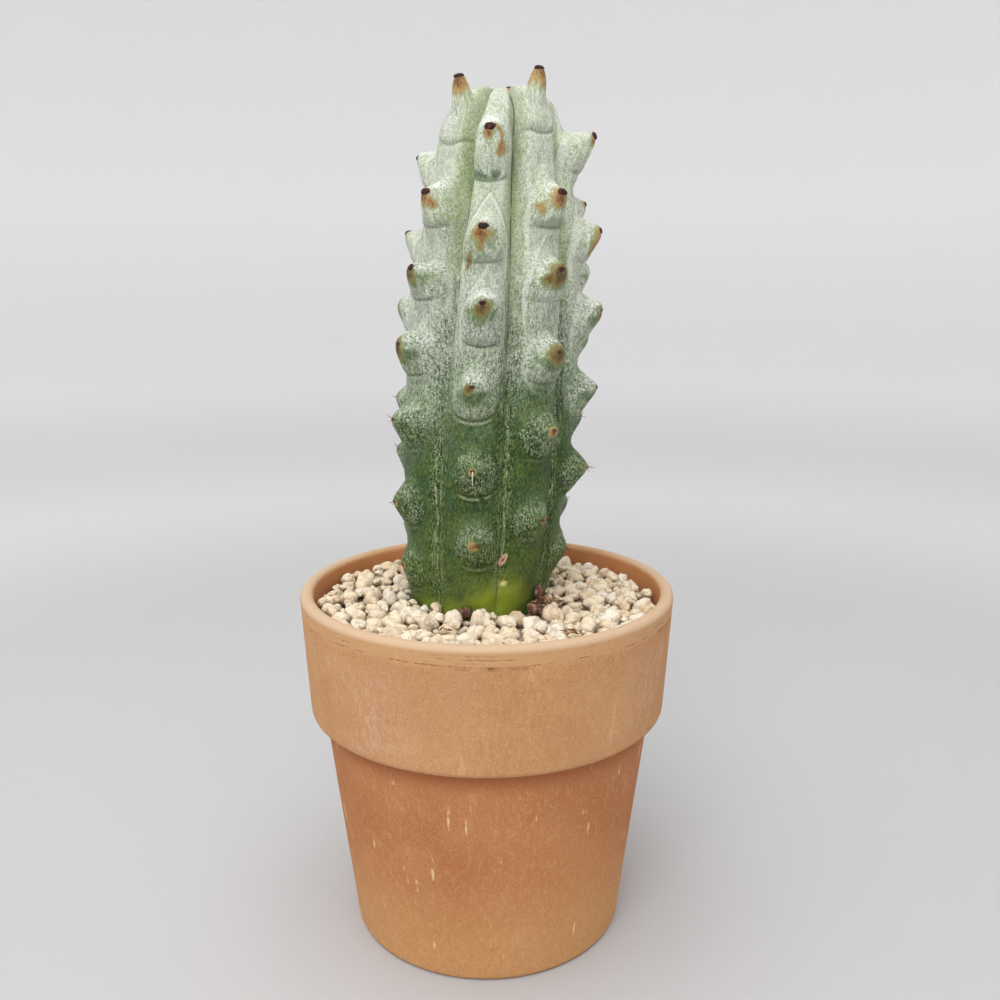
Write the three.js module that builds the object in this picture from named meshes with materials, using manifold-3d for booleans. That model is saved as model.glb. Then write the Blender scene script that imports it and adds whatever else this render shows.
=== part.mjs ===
// A columnar cactus with knobbly ribs, growing in a plain clay pot topped with pale gravel.
// Millimetres, +Z up. The origin is the centre of the pot's base, where the pot stands.
// Directions round the plant are azimuths in degrees: 0 points along -Y, the front, and 90 along +X.
import * as THREE from "three";
import { mergeVertices } from "three/addons/utils/BufferGeometryUtils.js";
import Module from "manifold-3d";

const wasm = await Module();
wasm.setup();

const TURN = 2 * Math.PI;
const GOLDEN = (1 + Math.sqrt(5)) / 2;
const { clamp, degToRad, lerp, smoothstep } = THREE.MathUtils;

// Pot: a rim and collar over a tapering body, with a drain hole in its floor
const POT_HEIGHT = 114;
const RIM_RADIUS = 60;
const RIM_WALL = 4.4;
const RIM_ROUND = 1.9;
const COLLAR_HEIGHT = 40;
const COLLAR_FOOT_RADIUS = 57.8;
const COLLAR_ROUND = 2.2;
const COLLAR_BORE_TAPER = 1.6;
const LEDGE_DROP = 1.6;
const LEDGE_ROUND = 1.2;
const BODY_TOP_RADIUS = 53.3;
const BODY_WALL = 4.6;
const BASE_RADIUS = 44.7;
const BASE_ROUND = 1.8;
const FLOOR = 8;
const DRAIN_RADIUS = 6;
const POT_SIDES = 48;
const ROUND_STEPS = 2;

// Fill of the pot, with a gap between every piece and its neighbours
const GAP = 0.3;
const SOIL_TOP = 97;
const GRAVEL_BED = 104.6;
const GRAVEL_MOUND = 1.2;

// Stones of the top layer: size, spacing, and the part of their size by which they sit above the bed
const STONE_RADIUS = 3.2;
const STONE_SIZES = [0.85, 1.12];
const STONE_FLATNESS = 0.85;
const STONE_UNEVENNESS = 0.14;
const STONE_PITCH = 7.1;
const STONE_RING_PITCH = 6.5;
const STONE_STRAY = 0.5;
const STONE_RISE = 0.35;

// Stem: an upright barrel that leans a little to the right and ends in a ribbed crown
const STEM_FOOT = new THREE.Vector3(-3.2, 8.5, 107);
const STEM_LEAN = degToRad(3.1);
const STEM_BOTTOM = 60;
const BOTTOM_RADIUS = 11;
const BURIED_ROWS = [60, 66, 80];
const RIBS_START = 100;
const FOOT_RADIUS = 22.5;
const BELLY_HEIGHT = 178;
const BELLY_RADIUS = 28;
const SHOULDER_HEIGHT = 244;
const SHOULDER_RADIUS = 21.8;
const CROWN_RISE = 22.5;
const CROWN_ARC = 30;
const CROWN_SQUARENESS = [0.7, 0.9];
const CROWN_DIMPLE = 3.5;
const DIMPLE_RADIUS = 8;
const ROW_PITCH = 3.6;

// Ribs, in order round the stem. bearing is the crest's azimuth at the foot, the middle and the top.
// areoles are the places of the tubercles, measured up the rib from the level of the pot's base.
const RIBS = [
  { bearing: [-117, -117, -115], areoles: [129, 153, 170, 199, 221, 244] },
  { bearing: [-63, -55, -43], areoles: [121, 142, 167, 187.5, 210, 231, 257.5] },
  { bearing: [-4, -9.5, -7], areoles: [131, 153.5, 177, 200, 221, 248] },
  { bearing: [37, 36, 34], areoles: [138, 165, 187, 209.5, 231, 260] },
  { bearing: [81, 81, 82], areoles: [124, 150.5, 175, 198, 221, 248.5] },
  { bearing: [113, 114, 118], areoles: [136, 164, 189.5, 210, 230] },
  { bearing: [160, 162, 172], areoles: [119, 139, 163, 186, 210, 233, 260] },
  { bearing: [203, 203, 212], areoles: [118, 140, 164, 189, 212, 236, 258] },
];

// Columns of the skin's mesh across one rib: -1 is the furrow before the crest, 0 the crest
const RIB_COLUMNS = [-1, -0.72, -0.4, -0.12, 0.12, 0.4, 0.72];

// Sizes that change up the stem, each as a first value and the amounts added between two places.
// The furrows' depth is a part of the radius; the tubercles' reach and lift are in millimetres.
const FURROW_DEPTH = { first: 0, added: [[0.1, 100, 112], [0.1, 140, 190], [0.09, 200, 250]] };
const TUBERCLE_REACH = { first: 4, added: [[3.6, 110, 160], [-5.7, 250, 260]] };
const TUBERCLE_LIFT = { first: 0.8, added: [[3.7, 125, 225], [5, 249, 259]] };
const FURROW_SHARPNESS = 2.6;

// Slopes of a tubercle: how far they run, how sharp they are, and how blunt the tip is
const TUBERCLE_SIDE = 8;
const TUBERCLE_UP = 9.5;
const TUBERCLE_DOWN = 10;
const TUBERCLE_NARROWING = 0.35;
const TUBERCLE_POINT = 1.35;
const TUBERCLE_BLUNT = 0.86;

// Short spines on the tips of the older tubercles
const SPINES_EACH = 2;
const SPINE_LENGTH = 2.4;
const SPINE_RADIUS = 0.26;
const SPINE_ROOT = 1.6;
const SPINE_DROOP = 0.2;
const OLDEST_SPINELESS = 190;

// Dried bits of bark by the stem, two on the gravel and one against the skin: centre and half-sizes
const DRIED_BITS = [
  { name: "dried_bit_front", at: [-6.9, -16.1, 109.0], half: [2.2, 1.7, 1.8], turn: 12 },
  { name: "dried_bit_right", at: [15.4, -13.6, 109.2], half: [3.0, 2.2, 2.0], turn: -20 },
  { name: "dried_bit_side", at: [16.7, -4.6, 111.6], half: [1.9, 1.0, 3.1], turn: 57 },
];
const BIT_UNEVENNESS = 0.25;

const CLAY = new THREE.MeshStandardMaterial({ color: 0xc98d5e, roughness: 0.92, metalness: 0 });
const SOIL = new THREE.MeshStandardMaterial({ color: 0x3b2c22, roughness: 1, metalness: 0 });
const GRAVEL = new THREE.MeshStandardMaterial({ color: 0xd6c9b4, roughness: 0.95, metalness: 0 });
const SKIN = new THREE.MeshStandardMaterial({ color: 0x8fae8c, roughness: 0.8, metalness: 0 });
const BARK = new THREE.MeshStandardMaterial({ color: 0x5a3524, roughness: 0.95, metalness: 0 });

// Repeatable random numbers from 0 to 1
function seeded(seed) {
  let state = seed >>> 0;
  return () => {
    state = (Math.imul(state, 1664525) + 1013904223) >>> 0;
    return state / 2 ** 32;
  };
}

// A geometry with only positions, and one vertex at each corner
function welded(geometry) {
  const bare = geometry.clone();
  bare.deleteAttribute("normal");
  bare.deleteAttribute("uv");
  return mergeVertices(bare, 1e-4);
}

// A geometry as a solid that can be joined and cut
function toSolid(geometry) {
  const merged = welded(geometry);
  return new wasm.Manifold(
    new wasm.Mesh({
      numProp: 3,
      vertProperties: merged.attributes.position.array,
      triVerts: new Uint32Array(merged.index.array),
    }),
  );
}

function toGeometry(solid) {
  const mesh = solid.getMesh();
  const geometry = new THREE.BufferGeometry();
  geometry.setAttribute("position", new THREE.BufferAttribute(mesh.vertProperties, 3));
  geometry.setIndex(new THREE.BufferAttribute(mesh.triVerts, 1));
  geometry.computeVertexNormals();
  return geometry;
}

// Joins solids in pairs, so that small ones are joined first
function joinAll(solids) {
  let rest = solids;
  while (rest.length > 1) {
    const joined = [];
    for (let i = 0; i < rest.length; i += 2) {
      joined.push(i + 1 < rest.length ? rest[i].add(rest[i + 1]) : rest[i]);
    }
    rest = joined;
  }
  return rest[0];
}

// The largest piece of a solid, without the loose scraps that a cut may leave
function largest(solid) {
  return solid.decompose().sort((a, b) => b.volume() - a.volume())[0];
}

// A closed skin over rings of points, with a point at each end
function loft(rings, first, last) {
  const count = rings[0].length;
  const points = [first, ...rings.flat(), last];
  const faces = [];
  const at = (ring, i) => 1 + ring * count + (i % count);
  for (let i = 0; i < count; i++) {
    faces.push(0, at(0, i + 1), at(0, i));
    for (let ring = 0; ring + 1 < rings.length; ring++) {
      faces.push(at(ring, i), at(ring, i + 1), at(ring + 1, i + 1));
      faces.push(at(ring, i), at(ring + 1, i + 1), at(ring + 1, i));
    }
    faces.push(at(rings.length - 1, i), at(rings.length - 1, i + 1), points.length - 1);
  }
  const geometry = new THREE.BufferGeometry().setFromPoints(points);
  geometry.setIndex(faces);
  return geometry;
}

// A solid of revolution about Z from [radius, height] pairs
function turned(profile) {
  const points = profile.map(([radius, height]) => new THREE.Vector2(radius, height));
  return new THREE.LatheGeometry(points, POT_SIDES).rotateX(TURN / 4);
}

// Points of a rounded corner about a centre, from one angle to another in degrees
function corner(radius, height, size, from, to) {
  return Array.from({ length: ROUND_STEPS + 1 }, (_, i) => {
    const angle = degToRad(lerp(from, to, i / ROUND_STEPS));
    return [radius + size * Math.cos(angle), height + size * Math.sin(angle)];
  });
}

// Heights and radii of the pot's inside, which widens in a slope behind the foot of the collar
const collarFoot = POT_HEIGHT - COLLAR_HEIGHT;
const slopeFoot = collarFoot - LEDGE_DROP;
const slopeTop = collarFoot + 3 * COLLAR_ROUND;
const boreTop = RIM_RADIUS - RIM_WALL;
const boreFoot = boreTop - COLLAR_BORE_TAPER;

// Profile of the pot's inside less a gap, from the floor up to a height in the collar
function insideProfile(gap, floor, top) {
  const upCollar = (top - slopeTop) / (POT_HEIGHT - slopeTop);
  return [
    [BASE_RADIUS - BODY_WALL - gap, floor],
    [BODY_TOP_RADIUS - BODY_WALL - gap, slopeFoot],
    [boreFoot - gap, slopeTop],
    [lerp(boreFoot, boreTop, upCollar) - gap, top],
  ];
}

// Radius of the pot's inside at a height in the collar, less the gap
function boreRadius(height) {
  return insideProfile(GAP, FLOOR, height).at(-1)[0];
}

function makePot() {
  const rimFoot = POT_HEIGHT - RIM_ROUND;
  return turned([
    [DRAIN_RADIUS, 0],
    ...corner(BASE_RADIUS - BASE_ROUND, BASE_ROUND, BASE_ROUND, -90, 0),
    [BODY_TOP_RADIUS, collarFoot - LEDGE_DROP],
    [BODY_TOP_RADIUS + LEDGE_ROUND, collarFoot],
    ...corner(COLLAR_FOOT_RADIUS - COLLAR_ROUND, collarFoot + COLLAR_ROUND, COLLAR_ROUND, -90, 0),
    ...corner(RIM_RADIUS - RIM_ROUND, rimFoot, RIM_ROUND, 0, 90),
    ...corner(boreTop + RIM_ROUND, rimFoot, RIM_ROUND, 90, 180).slice(0, -1),
    ...insideProfile(0, FLOOR, rimFoot).reverse(),
    [DRAIN_RADIUS, FLOOR],
    [DRAIN_RADIUS, 0],
  ]);
}

// A size that changes up the stem
function sizeAt({ first, added }, place) {
  return added.reduce((size, [amount, from, to]) => size + amount * smoothstep(place, from, to), first);
}

// A point at a radius from the stem's leaning axis
function fromAxis(radius, azimuth, height) {
  const axis = STEM_FOOT.x + (height - STEM_FOOT.z) * Math.tan(STEM_LEAN);
  const [across, back] = [Math.sin(azimuth), -Math.cos(azimuth)];
  return new THREE.Vector3(axis + radius * across, STEM_FOOT.y + radius * back, height);
}

// A rib's crest line without tubercles. facing goes from 0, outwards, to a quarter turn, upwards.
function crestLine(place) {
  if (place > SHOULDER_HEIGHT) {
    const facing = Math.min((place - SHOULDER_HEIGHT) / CROWN_ARC, 1) * (TURN / 4);
    const radius = SHOULDER_RADIUS * Math.cos(facing) ** CROWN_SQUARENESS[0];
    const rise = CROWN_RISE * Math.sin(facing) ** CROWN_SQUARENESS[1];
    const dimple = CROWN_DIMPLE * Math.max(0, 1 - radius / DIMPLE_RADIUS) ** 2;
    return { radius, height: SHOULDER_HEIGHT + rise - dimple, facing };
  }
  if (place < RIBS_START) {
    const depth = (RIBS_START - place) / (RIBS_START - STEM_BOTTOM);
    const neck = crestLine(RIBS_START).radius;
    return { radius: lerp(neck, BOTTOM_RADIUS, depth), height: place, facing: 0 };
  }
  const [end, endRadius] =
    place > BELLY_HEIGHT ? [SHOULDER_HEIGHT, SHOULDER_RADIUS] : [STEM_FOOT.z, FOOT_RADIUS];
  const away = (place - BELLY_HEIGHT) / (end - BELLY_HEIGHT);
  return { radius: lerp(BELLY_RADIUS, endRadius, away ** 2), height: place, facing: 0 };
}

// Height of a tubercle's slope from 1 at its tip to 0 at its edge; up and aside are in millimetres
function tubercleSlope(up, aside) {
  const along = up > 0 ? up / TUBERCLE_UP : up / TUBERCLE_DOWN;
  const side = TUBERCLE_SIDE * (1 - TUBERCLE_NARROWING * Math.max(0, along));
  const slope = Math.max(0, 1 - Math.hypot(along, aside / side)) ** TUBERCLE_POINT;
  return Math.min(1, slope / TUBERCLE_BLUNT);
}

// Azimuth of a rib's crest at a place, in radians, on a smooth line through its three bearings
function ribBearing(rib, place) {
  const [foot, middle, top] = RIBS[rib].bearing;
  const up = clamp((place - STEM_FOOT.z) / (SHOULDER_HEIGHT - STEM_FOOT.z), 0, 1.1);
  const bend = 2 * (foot + top - 2 * middle);
  return degToRad(foot + (top - foot - bend) * up + bend * up * up);
}

// A point of the stem's skin. across goes from -1 to 1 between the furrows beside the rib's crest.
function stemPoint(rib, across, place, grow = 0) {
  const beside = (rib + Math.sign(across) + RIBS.length) % RIBS.length;
  const here = ribBearing(rib, place);
  let toNext = ribBearing(beside, place) - here;
  if (across * toNext < 0) toNext += Math.sign(across) * TURN;
  const azimuth = here + (Math.abs(across) * toNext) / 2;
  const crest = crestLine(place);
  const depth = sizeAt(FURROW_DEPTH, place) * Math.abs(across) ** FURROW_SHARPNESS;
  const sunk = crest.radius * depth - grow;
  let radius = crest.radius - sunk * Math.cos(crest.facing);
  let height = crest.height - sunk * Math.sin(crest.facing);
  for (const areole of RIBS[rib].areoles) {
    const slope = tubercleSlope(place - areole, (azimuth - here) * crest.radius);
    radius += slope * sizeAt(TUBERCLE_REACH, areole);
    height += slope * sizeAt(TUBERCLE_LIFT, areole);
  }
  return fromAxis(radius, azimuth, height);
}

// Places of the mesh's rows up one rib, with the nearest row moved to each tubercle's tip
function rowPlaces(rib, count) {
  const end = SHOULDER_HEIGHT + CROWN_ARC;
  const fixed = [[0, RIBS_START]];
  for (const areole of RIBS[rib].areoles) {
    fixed.push([Math.round(((areole - RIBS_START) / (end - RIBS_START)) * count), areole]);
  }
  fixed.push([count, end]);
  return Array.from({ length: count + 1 }, (_, row) => {
    const next = Math.max(1, fixed.findIndex(([at]) => at >= row));
    const [fromRow, from] = fixed[next - 1];
    const [toRow, to] = fixed[next];
    return lerp(from, to, (row - fromRow) / (toRow - fromRow));
  });
}

// Rings of the ribbed stem up to a place, at most to just short of the crown's centre
function ribbedRings(grow, top) {
  const count = Math.round((SHOULDER_HEIGHT + CROWN_ARC - RIBS_START) / ROW_PITCH);
  const places = RIBS.map((_, rib) => rowPlaces(rib, count));
  const rings = [];
  for (let row = 0; row < count && places[0][row] <= top; row++) {
    const ring = RIBS.flatMap((_, rib) =>
      RIB_COLUMNS.map((across) => {
        const beside = (rib + Math.sign(across) + RIBS.length) % RIBS.length;
        const furrow = (places[rib][row] + places[beside][row]) / 2;
        return stemPoint(rib, across, lerp(places[rib][row], furrow, Math.abs(across)), grow);
      }),
    );
    rings.push(ring);
  }
  return rings;
}

// Rings of the smooth buried end
function buriedRings(grow) {
  return BURIED_ROWS.map((place) =>
    RIBS.flatMap((_, rib) => RIB_COLUMNS.map((across) => stemPoint(rib, across, place, grow))),
  );
}

// A three-sided needle that stands on a point, with its root sunk below it
function needle(root, direction) {
  const height = SPINE_LENGTH + SPINE_ROOT;
  const geometry = new THREE.CylinderGeometry(SPINE_RADIUS / 5, SPINE_RADIUS, height, 3);
  geometry.translate(0, height / 2 - SPINE_ROOT, 0);
  const along = direction.clone().normalize();
  geometry.applyQuaternion(new THREE.Quaternion().setFromUnitVectors(new THREE.Vector3(0, 1, 0), along));
  return geometry.translate(root.x, root.y, root.z);
}

function spineSolids() {
  const random = seeded(41);
  const solids = [];
  RIBS.forEach(({ areoles }, rib) => {
    for (const areole of areoles.filter((place) => place < OLDEST_SPINELESS)) {
      const tip = stemPoint(rib, 0, areole);
      const crest = crestLine(areole);
      const base = fromAxis(crest.radius, ribBearing(rib, areole), crest.height);
      const out = tip.clone().sub(base).normalize();
      for (let i = 0; i < SPINES_EACH; i++) {
        const spread = new THREE.Vector3(random() - 0.5, random() - 0.5, random() - 0.5 - SPINE_DROOP);
        solids.push(toSolid(needle(tip, out.clone().add(spread))));
      }
    }
  });
  return solids;
}

function makeStem() {
  const rings = [...buriedRings(0), ...ribbedRings(0, Infinity)];
  const bottom = fromAxis(0, 0, STEM_BOTTOM - BASE_ROUND);
  const summit = fromAxis(0, 0, crestLine(SHOULDER_HEIGHT + CROWN_ARC).height);
  return joinAll([toSolid(loft(rings, bottom, summit)), ...spineSolids()]);
}

// The room that the stem takes in the soil and the gravel, with a gap all round
function stemRoom() {
  const top = POT_HEIGHT + FLOOR;
  const rings = [...buriedRings(GAP), ...ribbedRings(GAP, top)];
  return toSolid(loft(rings, fromAxis(0, 0, STEM_BOTTOM - BASE_ROUND - GAP), fromAxis(0, 0, top)));
}

function makeSoil(room) {
  const sides = insideProfile(GAP, FLOOR + GAP, SOIL_TOP);
  return toSolid(turned([[0, FLOOR + GAP], ...sides, [0, SOIL_TOP]])).subtract(room);
}

// An uneven little lump with twenty faces and a corner straight up
function lump(random, half, unevenness) {
  const geometry = welded(new THREE.IcosahedronGeometry(1, 0).rotateX(Math.atan(1 / GOLDEN)));
  const points = geometry.attributes.position;
  for (let i = 0; i < points.count; i++) {
    const size = 1 + unevenness * (2 * random() - 1);
    points.setXYZ(i, points.getX(i) * size, points.getY(i) * size, points.getZ(i) * size);
  }
  return geometry.scale(...half);
}

// Stones set in rings round the pot, each sunk into the bed, and a little higher near the stem
function stoneSolids() {
  const random = seeded(7);
  const solids = [];
  const outermost = boreRadius(GRAVEL_BED) - STONE_RADIUS * STONE_SIZES[1];
  for (let ring = outermost; ring > 0; ring -= STONE_RING_PITCH) {
    const count = Math.round((TURN * ring) / STONE_PITCH);
    for (let i = 0; i < count; i++) {
      const angle = ((i + random() * STONE_STRAY * 0.3) / count) * TURN;
      const radius = ring - random() * STONE_STRAY;
      const [x, y] = [radius * Math.cos(angle), radius * Math.sin(angle)];
      const size = STONE_RADIUS * lerp(...STONE_SIZES, random());
      const half = [size, size * lerp(...STONE_SIZES, random()), size * STONE_FLATNESS];
      const stone = lump(random, half, STONE_UNEVENNESS).rotateZ(random() * TURN);
      const fromStem = Math.hypot(x - STEM_FOOT.x, y - STEM_FOOT.y);
      const mound = GRAVEL_MOUND * smoothstep(-fromStem, -RIM_RADIUS, -FOOT_RADIUS);
      stone.translate(x, y, GRAVEL_BED + mound + STONE_RISE * size);
      if (fromStem > FOOT_RADIUS) solids.push(toSolid(stone));
    }
  }
  return solids;
}

function makeGravel(room, seats) {
  const foot = SOIL_TOP + GAP;
  const outline = [[0, foot], [boreRadius(foot), foot], [boreRadius(GRAVEL_BED), GRAVEL_BED], [0, GRAVEL_BED]];
  const gravel = joinAll([toSolid(turned(outline)), ...stoneSolids()]);
  return [room, ...seats].reduce((solid, cut) => solid.subtract(cut), gravel);
}

// A dried bit of bark, or with grow the seat that it presses into the gravel
function driedBit({ at, half, turn }, grow) {
  const halves = half.map((size) => size + grow);
  return lump(seeded(turn), halves, BIT_UNEVENNESS).rotateZ(degToRad(turn)).translate(...at);
}

function named(name, geometry, material) {
  const mesh = new THREE.Mesh(geometry, material);
  mesh.name = name;
  return mesh;
}

const room = stemRoom();
const seats = DRIED_BITS.map((bit) => toSolid(driedBit(bit, GAP)));
const plant = new THREE.Group();
plant.add(
  named("pot", makePot(), CLAY),
  named("potting_soil", toGeometry(largest(makeSoil(room))), SOIL),
  named("gravel_top_dressing", toGeometry(largest(makeGravel(room, seats))), GRAVEL),
  named("cactus_stem", toGeometry(makeStem()), SKIN),
  ...DRIED_BITS.map((bit) => named(bit.name, driedBit(bit, 0), BARK)),
);

export default plant;
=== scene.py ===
"""A columnar cactus with knobbly ribs and a chalky bloom, in a clay pot topped with pale gravel.

Shapes are worked out in millimetres in the frame of the CAD model, and mesh_piece() turns them to metres.
Directions round the plant are azimuths: 0 points along -Y, the front, and a quarter turn along +X.
"""

import math

import bpy
import numpy as np
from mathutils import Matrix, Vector


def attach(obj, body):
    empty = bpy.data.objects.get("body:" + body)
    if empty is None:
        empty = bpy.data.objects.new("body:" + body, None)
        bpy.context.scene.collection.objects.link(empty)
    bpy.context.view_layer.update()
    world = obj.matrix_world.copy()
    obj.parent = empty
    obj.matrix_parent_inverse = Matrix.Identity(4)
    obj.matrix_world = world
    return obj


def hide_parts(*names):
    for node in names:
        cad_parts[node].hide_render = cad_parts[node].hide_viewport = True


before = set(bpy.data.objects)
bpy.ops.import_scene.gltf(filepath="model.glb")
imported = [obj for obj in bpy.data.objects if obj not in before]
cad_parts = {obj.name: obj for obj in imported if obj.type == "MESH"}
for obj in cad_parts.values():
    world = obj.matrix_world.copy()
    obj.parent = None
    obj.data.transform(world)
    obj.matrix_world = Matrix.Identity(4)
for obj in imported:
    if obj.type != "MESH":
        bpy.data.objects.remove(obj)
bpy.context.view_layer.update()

MM = 0.001
TURN = 2 * math.pi

# Camera: where the photograph was taken from, and its field of view
CAMERA_AT = (4.2, -313.0, 209.9)
CAMERA_PITCH = 12.32
LENS = 36
SENSOR = 36

# Pot, as in the CAD model
POT_HEIGHT = 114
RIM_RADIUS = 60
RIM_WALL = 4.4
RIM_ROUND = 1.9
COLLAR_HEIGHT = 40
COLLAR_FOOT_RADIUS = 57.8
COLLAR_ROUND = 2.2
COLLAR_BORE_TAPER = 1.6
LEDGE_DROP = 1.6
LEDGE_ROUND = 1.2
BODY_TOP_RADIUS = 53.3
BODY_WALL = 4.6
BASE_RADIUS = 44.7
BASE_ROUND = 1.8
FLOOR = 8
DRAIN_RADIUS = 6
POT_COLUMNS = 480
POT_STEP = 1.5
BAND_STEP = 0.16
BURIED_STEP = 8

# Smoothed band under the rim, and the broken lines the trimming left on it: drop from the top and strength
BAND_HEIGHT = 5.8
TRIM_LINES = [(5.6, 1.0), (4.7, 0.5), (3.7, 0.75), (2.6, 0.4)]
TRIM_DEPTH = 0.2
TRIM_WIDTH = 0.16

# Wear of the pot's outside: broad, fine and deepest, and how far it is set in to stay inside the solid
BROAD_WEAR = 0.07
FINE_WEAR = 0.04
MOST_WEAR = 0.2
SET_IN = 0.04

# Salty stains on the collar: angle from +X, spread and strength
SALT_STAINS = [(math.radians(-148), math.radians(28), 1.0), (math.radians(-20), math.radians(24), 0.5)]

# Gravel: levels, and the sizes, meshes and packing of the stones, large ones with some small ones between
GRAVEL_FOOT = 97.3
GRAVEL_BED = 105.6
GRAVEL_LEVEL = 108.9
GRAVEL_MOUND = 1.6
GRAVEL_BANK = 1.7
STONE_RADII = (2.1, 4.0)
FINE_STONES = 225
FINE_SEGMENTS = 7
COARSE_SEGMENTS = 4
MOST_STONES = 480
STONE_TRIES = 40
STONE_SWELL = 1.16
PACKING = 0.86
WALL_GAP = 0.15
LARGE_SHARE = 0.8
SMALL_RADII = (1.0, 1.7)
STONE_LEVEL = 105

# Pebbles: the faces that flatten each one, and how far out they lie
PEBBLE_FACES = 7
FACE_REACH = (0.78, 1.15)

# Floor under the plant, in metres: the flat part's radius, and the bend at its edge
FLOOR_FLAT = 0.9
FLOOR_BEND = 1.5

# Stem, as in the CAD model
STEM_FOOT = (-3.2, 8.5, 107)
STEM_LEAN = math.radians(3.1)
STEM_BOTTOM = 60
BOTTOM_RADIUS = 11
RIBS_START = 100
FOOT_RADIUS = 22.5
BELLY_HEIGHT = 178
BELLY_RADIUS = 28
SHOULDER_HEIGHT = 244
SHOULDER_RADIUS = 21.8
CROWN_RISE = 22.5
CROWN_ARC = 30
CROWN_SQUARENESS = (0.7, 0.9)
CROWN_DIMPLE = 3.5
DIMPLE_RADIUS = 8

# Ribs in order round the stem: the crest's azimuth at the foot, the middle and the top, and the places
# of its tubercles, measured up the rib from the level of the pot's base
RIBS = [
    ((-117, -117, -115), (129, 153, 170, 199, 221, 244)),
    ((-63, -55, -43), (121, 142, 167, 187.5, 210, 231, 257.5)),
    ((-4, -9.5, -7), (131, 153.5, 177, 200, 221, 248)),
    ((37, 36, 34), (138, 165, 187, 209.5, 231, 260)),
    ((81, 81, 82), (124, 150.5, 175, 198, 221, 248.5)),
    ((113, 114, 118), (136, 164, 189.5, 210, 230)),
    ((160, 162, 172), (119, 139, 163, 186, 210, 233, 260)),
    ((203, 203, 212), (118, 140, 164, 189, 212, 236, 258)),
]

# Sizes that change up the stem: a first value and the amounts added between two places
FURROW_DEPTH = (0, [(0.1, 100, 112), (0.1, 140, 190), (0.09, 200, 250)])
TUBERCLE_REACH = (4, [(3.6, 110, 160), (-5.7, 250, 260)])
TUBERCLE_LIFT = (0.8, [(3.7, 125, 225), (5, 249, 259)])
FURROW_SHARPNESS = 2.6
TUBERCLE_SIDE = 8
TUBERCLE_UP = 9.5
TUBERCLE_DOWN = 10
TUBERCLE_NARROWING = 0.35
TUBERCLE_POINT = 1.35
TUBERCLE_BLUNT = (0.82, [(-0.13, 172, 188), (0.13, 212, 228)])
TIP_ROUNDING = 0.26
TIP_TRIM = 1.26

# Young horns at the crown are narrow and blunt; tips that stand off their rib's crest line: aside and up
HORN_NARROWING = 0.57
HORN_FLATNESS = (3.2, 1.6)
TIP_SHIFTS = {
    (2, 248): (0.0, -1.2),
    (2, 221): (1.0, 0.0),
    (2, 200): (2.2, 0.6),
    (2, 177): (0.8, 0.8),
    (2, 153.5): (1.5, 0.6),
    (2, 131): (2.2, 0.2),
    (1, 231): (0.9, 0.0),
    (1, 210): (1.3, 0.0),
    (1, 187.5): (0.4, 1.4),
    (3, 231): (1.0, -0.4),
    (4, 248.5): (0.0, -1.2),
}

# Tubercles with a flat top: how far the rib above them stands back, and their length upwards
FLAT_TOPS = {(0, 244): 3.4, (4, 248.5): 2.0, (0, 221): 2.4, (1, 210): 1.6}
FLAT_TOP_UP = 6.2

# Mesh of the skin: columns across one rib, and the rows' spacing
RIB_COLUMNS = 32
ROW_STEP = 0.47

# Creases under the tubercles: drop below the areole, half-width, and rise of the ends
CREASE_DROP = (7.6, [(-1.0, 180, 200), (3.4, 250, 256)])
CREASE_REACH = 5.2
CREASE_BEND = 0.05

# Relief at a crease: depth and width of its cut, rise of the lip and of the folds beside it
CREASE_CUT = 0.42
CREASE_WIDTH = 0.4
LIP_RISE = 0.22
FOLDS_RISE = 0.13

# How far from its tip, up and down the rib, a tubercle shapes the skin, and the gap given where none is near
TUBERCLE_ZONE = 18
FAR_GAP = 9.0

# Slit in the furrows, and waves of the skin: height, size and seed
SLIT_DEPTH = (0.2, [(0.55, 150, 215)])
SLIT_WIDTH = 0.65
SKIN_WAVES = [(0.4, 9, 3), (0.22, 3.4, 4)]
FINE_WAVES = 0.1

# Looks of the creases of some areoles, by rib and place: strength of the green band above, partly painted
# shade under the tubercle, and of the pale lip below, and how much lower the crease lies than usual
CREASE_LOOKS = {
    (2, 248): (1.0, 0.15, 2.4),
    (2, 221): (0.45, 0.2, 0.2),
    (2, 200): (0.25, 0.9, 2.8),
    (2, 177): (0.0, 1.0, 0.7),
    (2, 153.5): (0.0, 1.0, 0.0),
    (3, 231): (0.6, 1.0, 0.0),
}

# How clearly the outlines of some lobes show above the tip
LOBE_LINES = {(2, 248): 0.0, (2, 221): 1.0, (2, 200): 0.55, (2, 177): 0.5}

# Lobes round the tubercles: a pointed arch on young ones, a round dome on old ones, how far they stand
# out, and the rise along their outlines
ARCH_HALF = 6.8
ARCH_RISE = 17.2
ARCH_START = 4
DOME_RADIUS = 7.4
DOME_DROP = 0.8
LOBE_STEP = 0.6
OUTLINE_RISE = 0.16
OUTLINE_WIDTH = 0.5

# Areoles: radius of the felt, size and drop of the rusty stain, the place above which there are no spines,
# and the areole with the hanging spine
AREOLE_RADIUS = (0.75, [(0.7, 170, 225)])
STAIN_SIZE = (1.45, [(2.15, 168, 190), (-1.5, 236, 246), (1.7, 250, 257)])
STAIN_DROP = (0.4, [(1.1, 172, 202)])
OLDEST_SPINELESS = 172
HANGING_SPINE = (2, 153.5)


def smooth(x, low, high):
    """0 below low, 1 above high, and a smooth step between them."""
    t = np.clip((np.asarray(x, float) - low) / (high - low), 0, 1)
    return t * t * (3 - 2 * t)


def falling(x, low, high):
    """1 below low, 0 above high, and a smooth step between them."""
    return 1 - smooth(x, low, high)


def bell(x, width):
    """1 where x is 0, falling off to both sides over a width."""
    return np.exp(-((x / width) ** 2))


def wrapped(angle):
    """The same angle between minus and plus half a turn."""
    return np.mod(angle + TURN / 2, TURN) - TURN / 2


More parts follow.
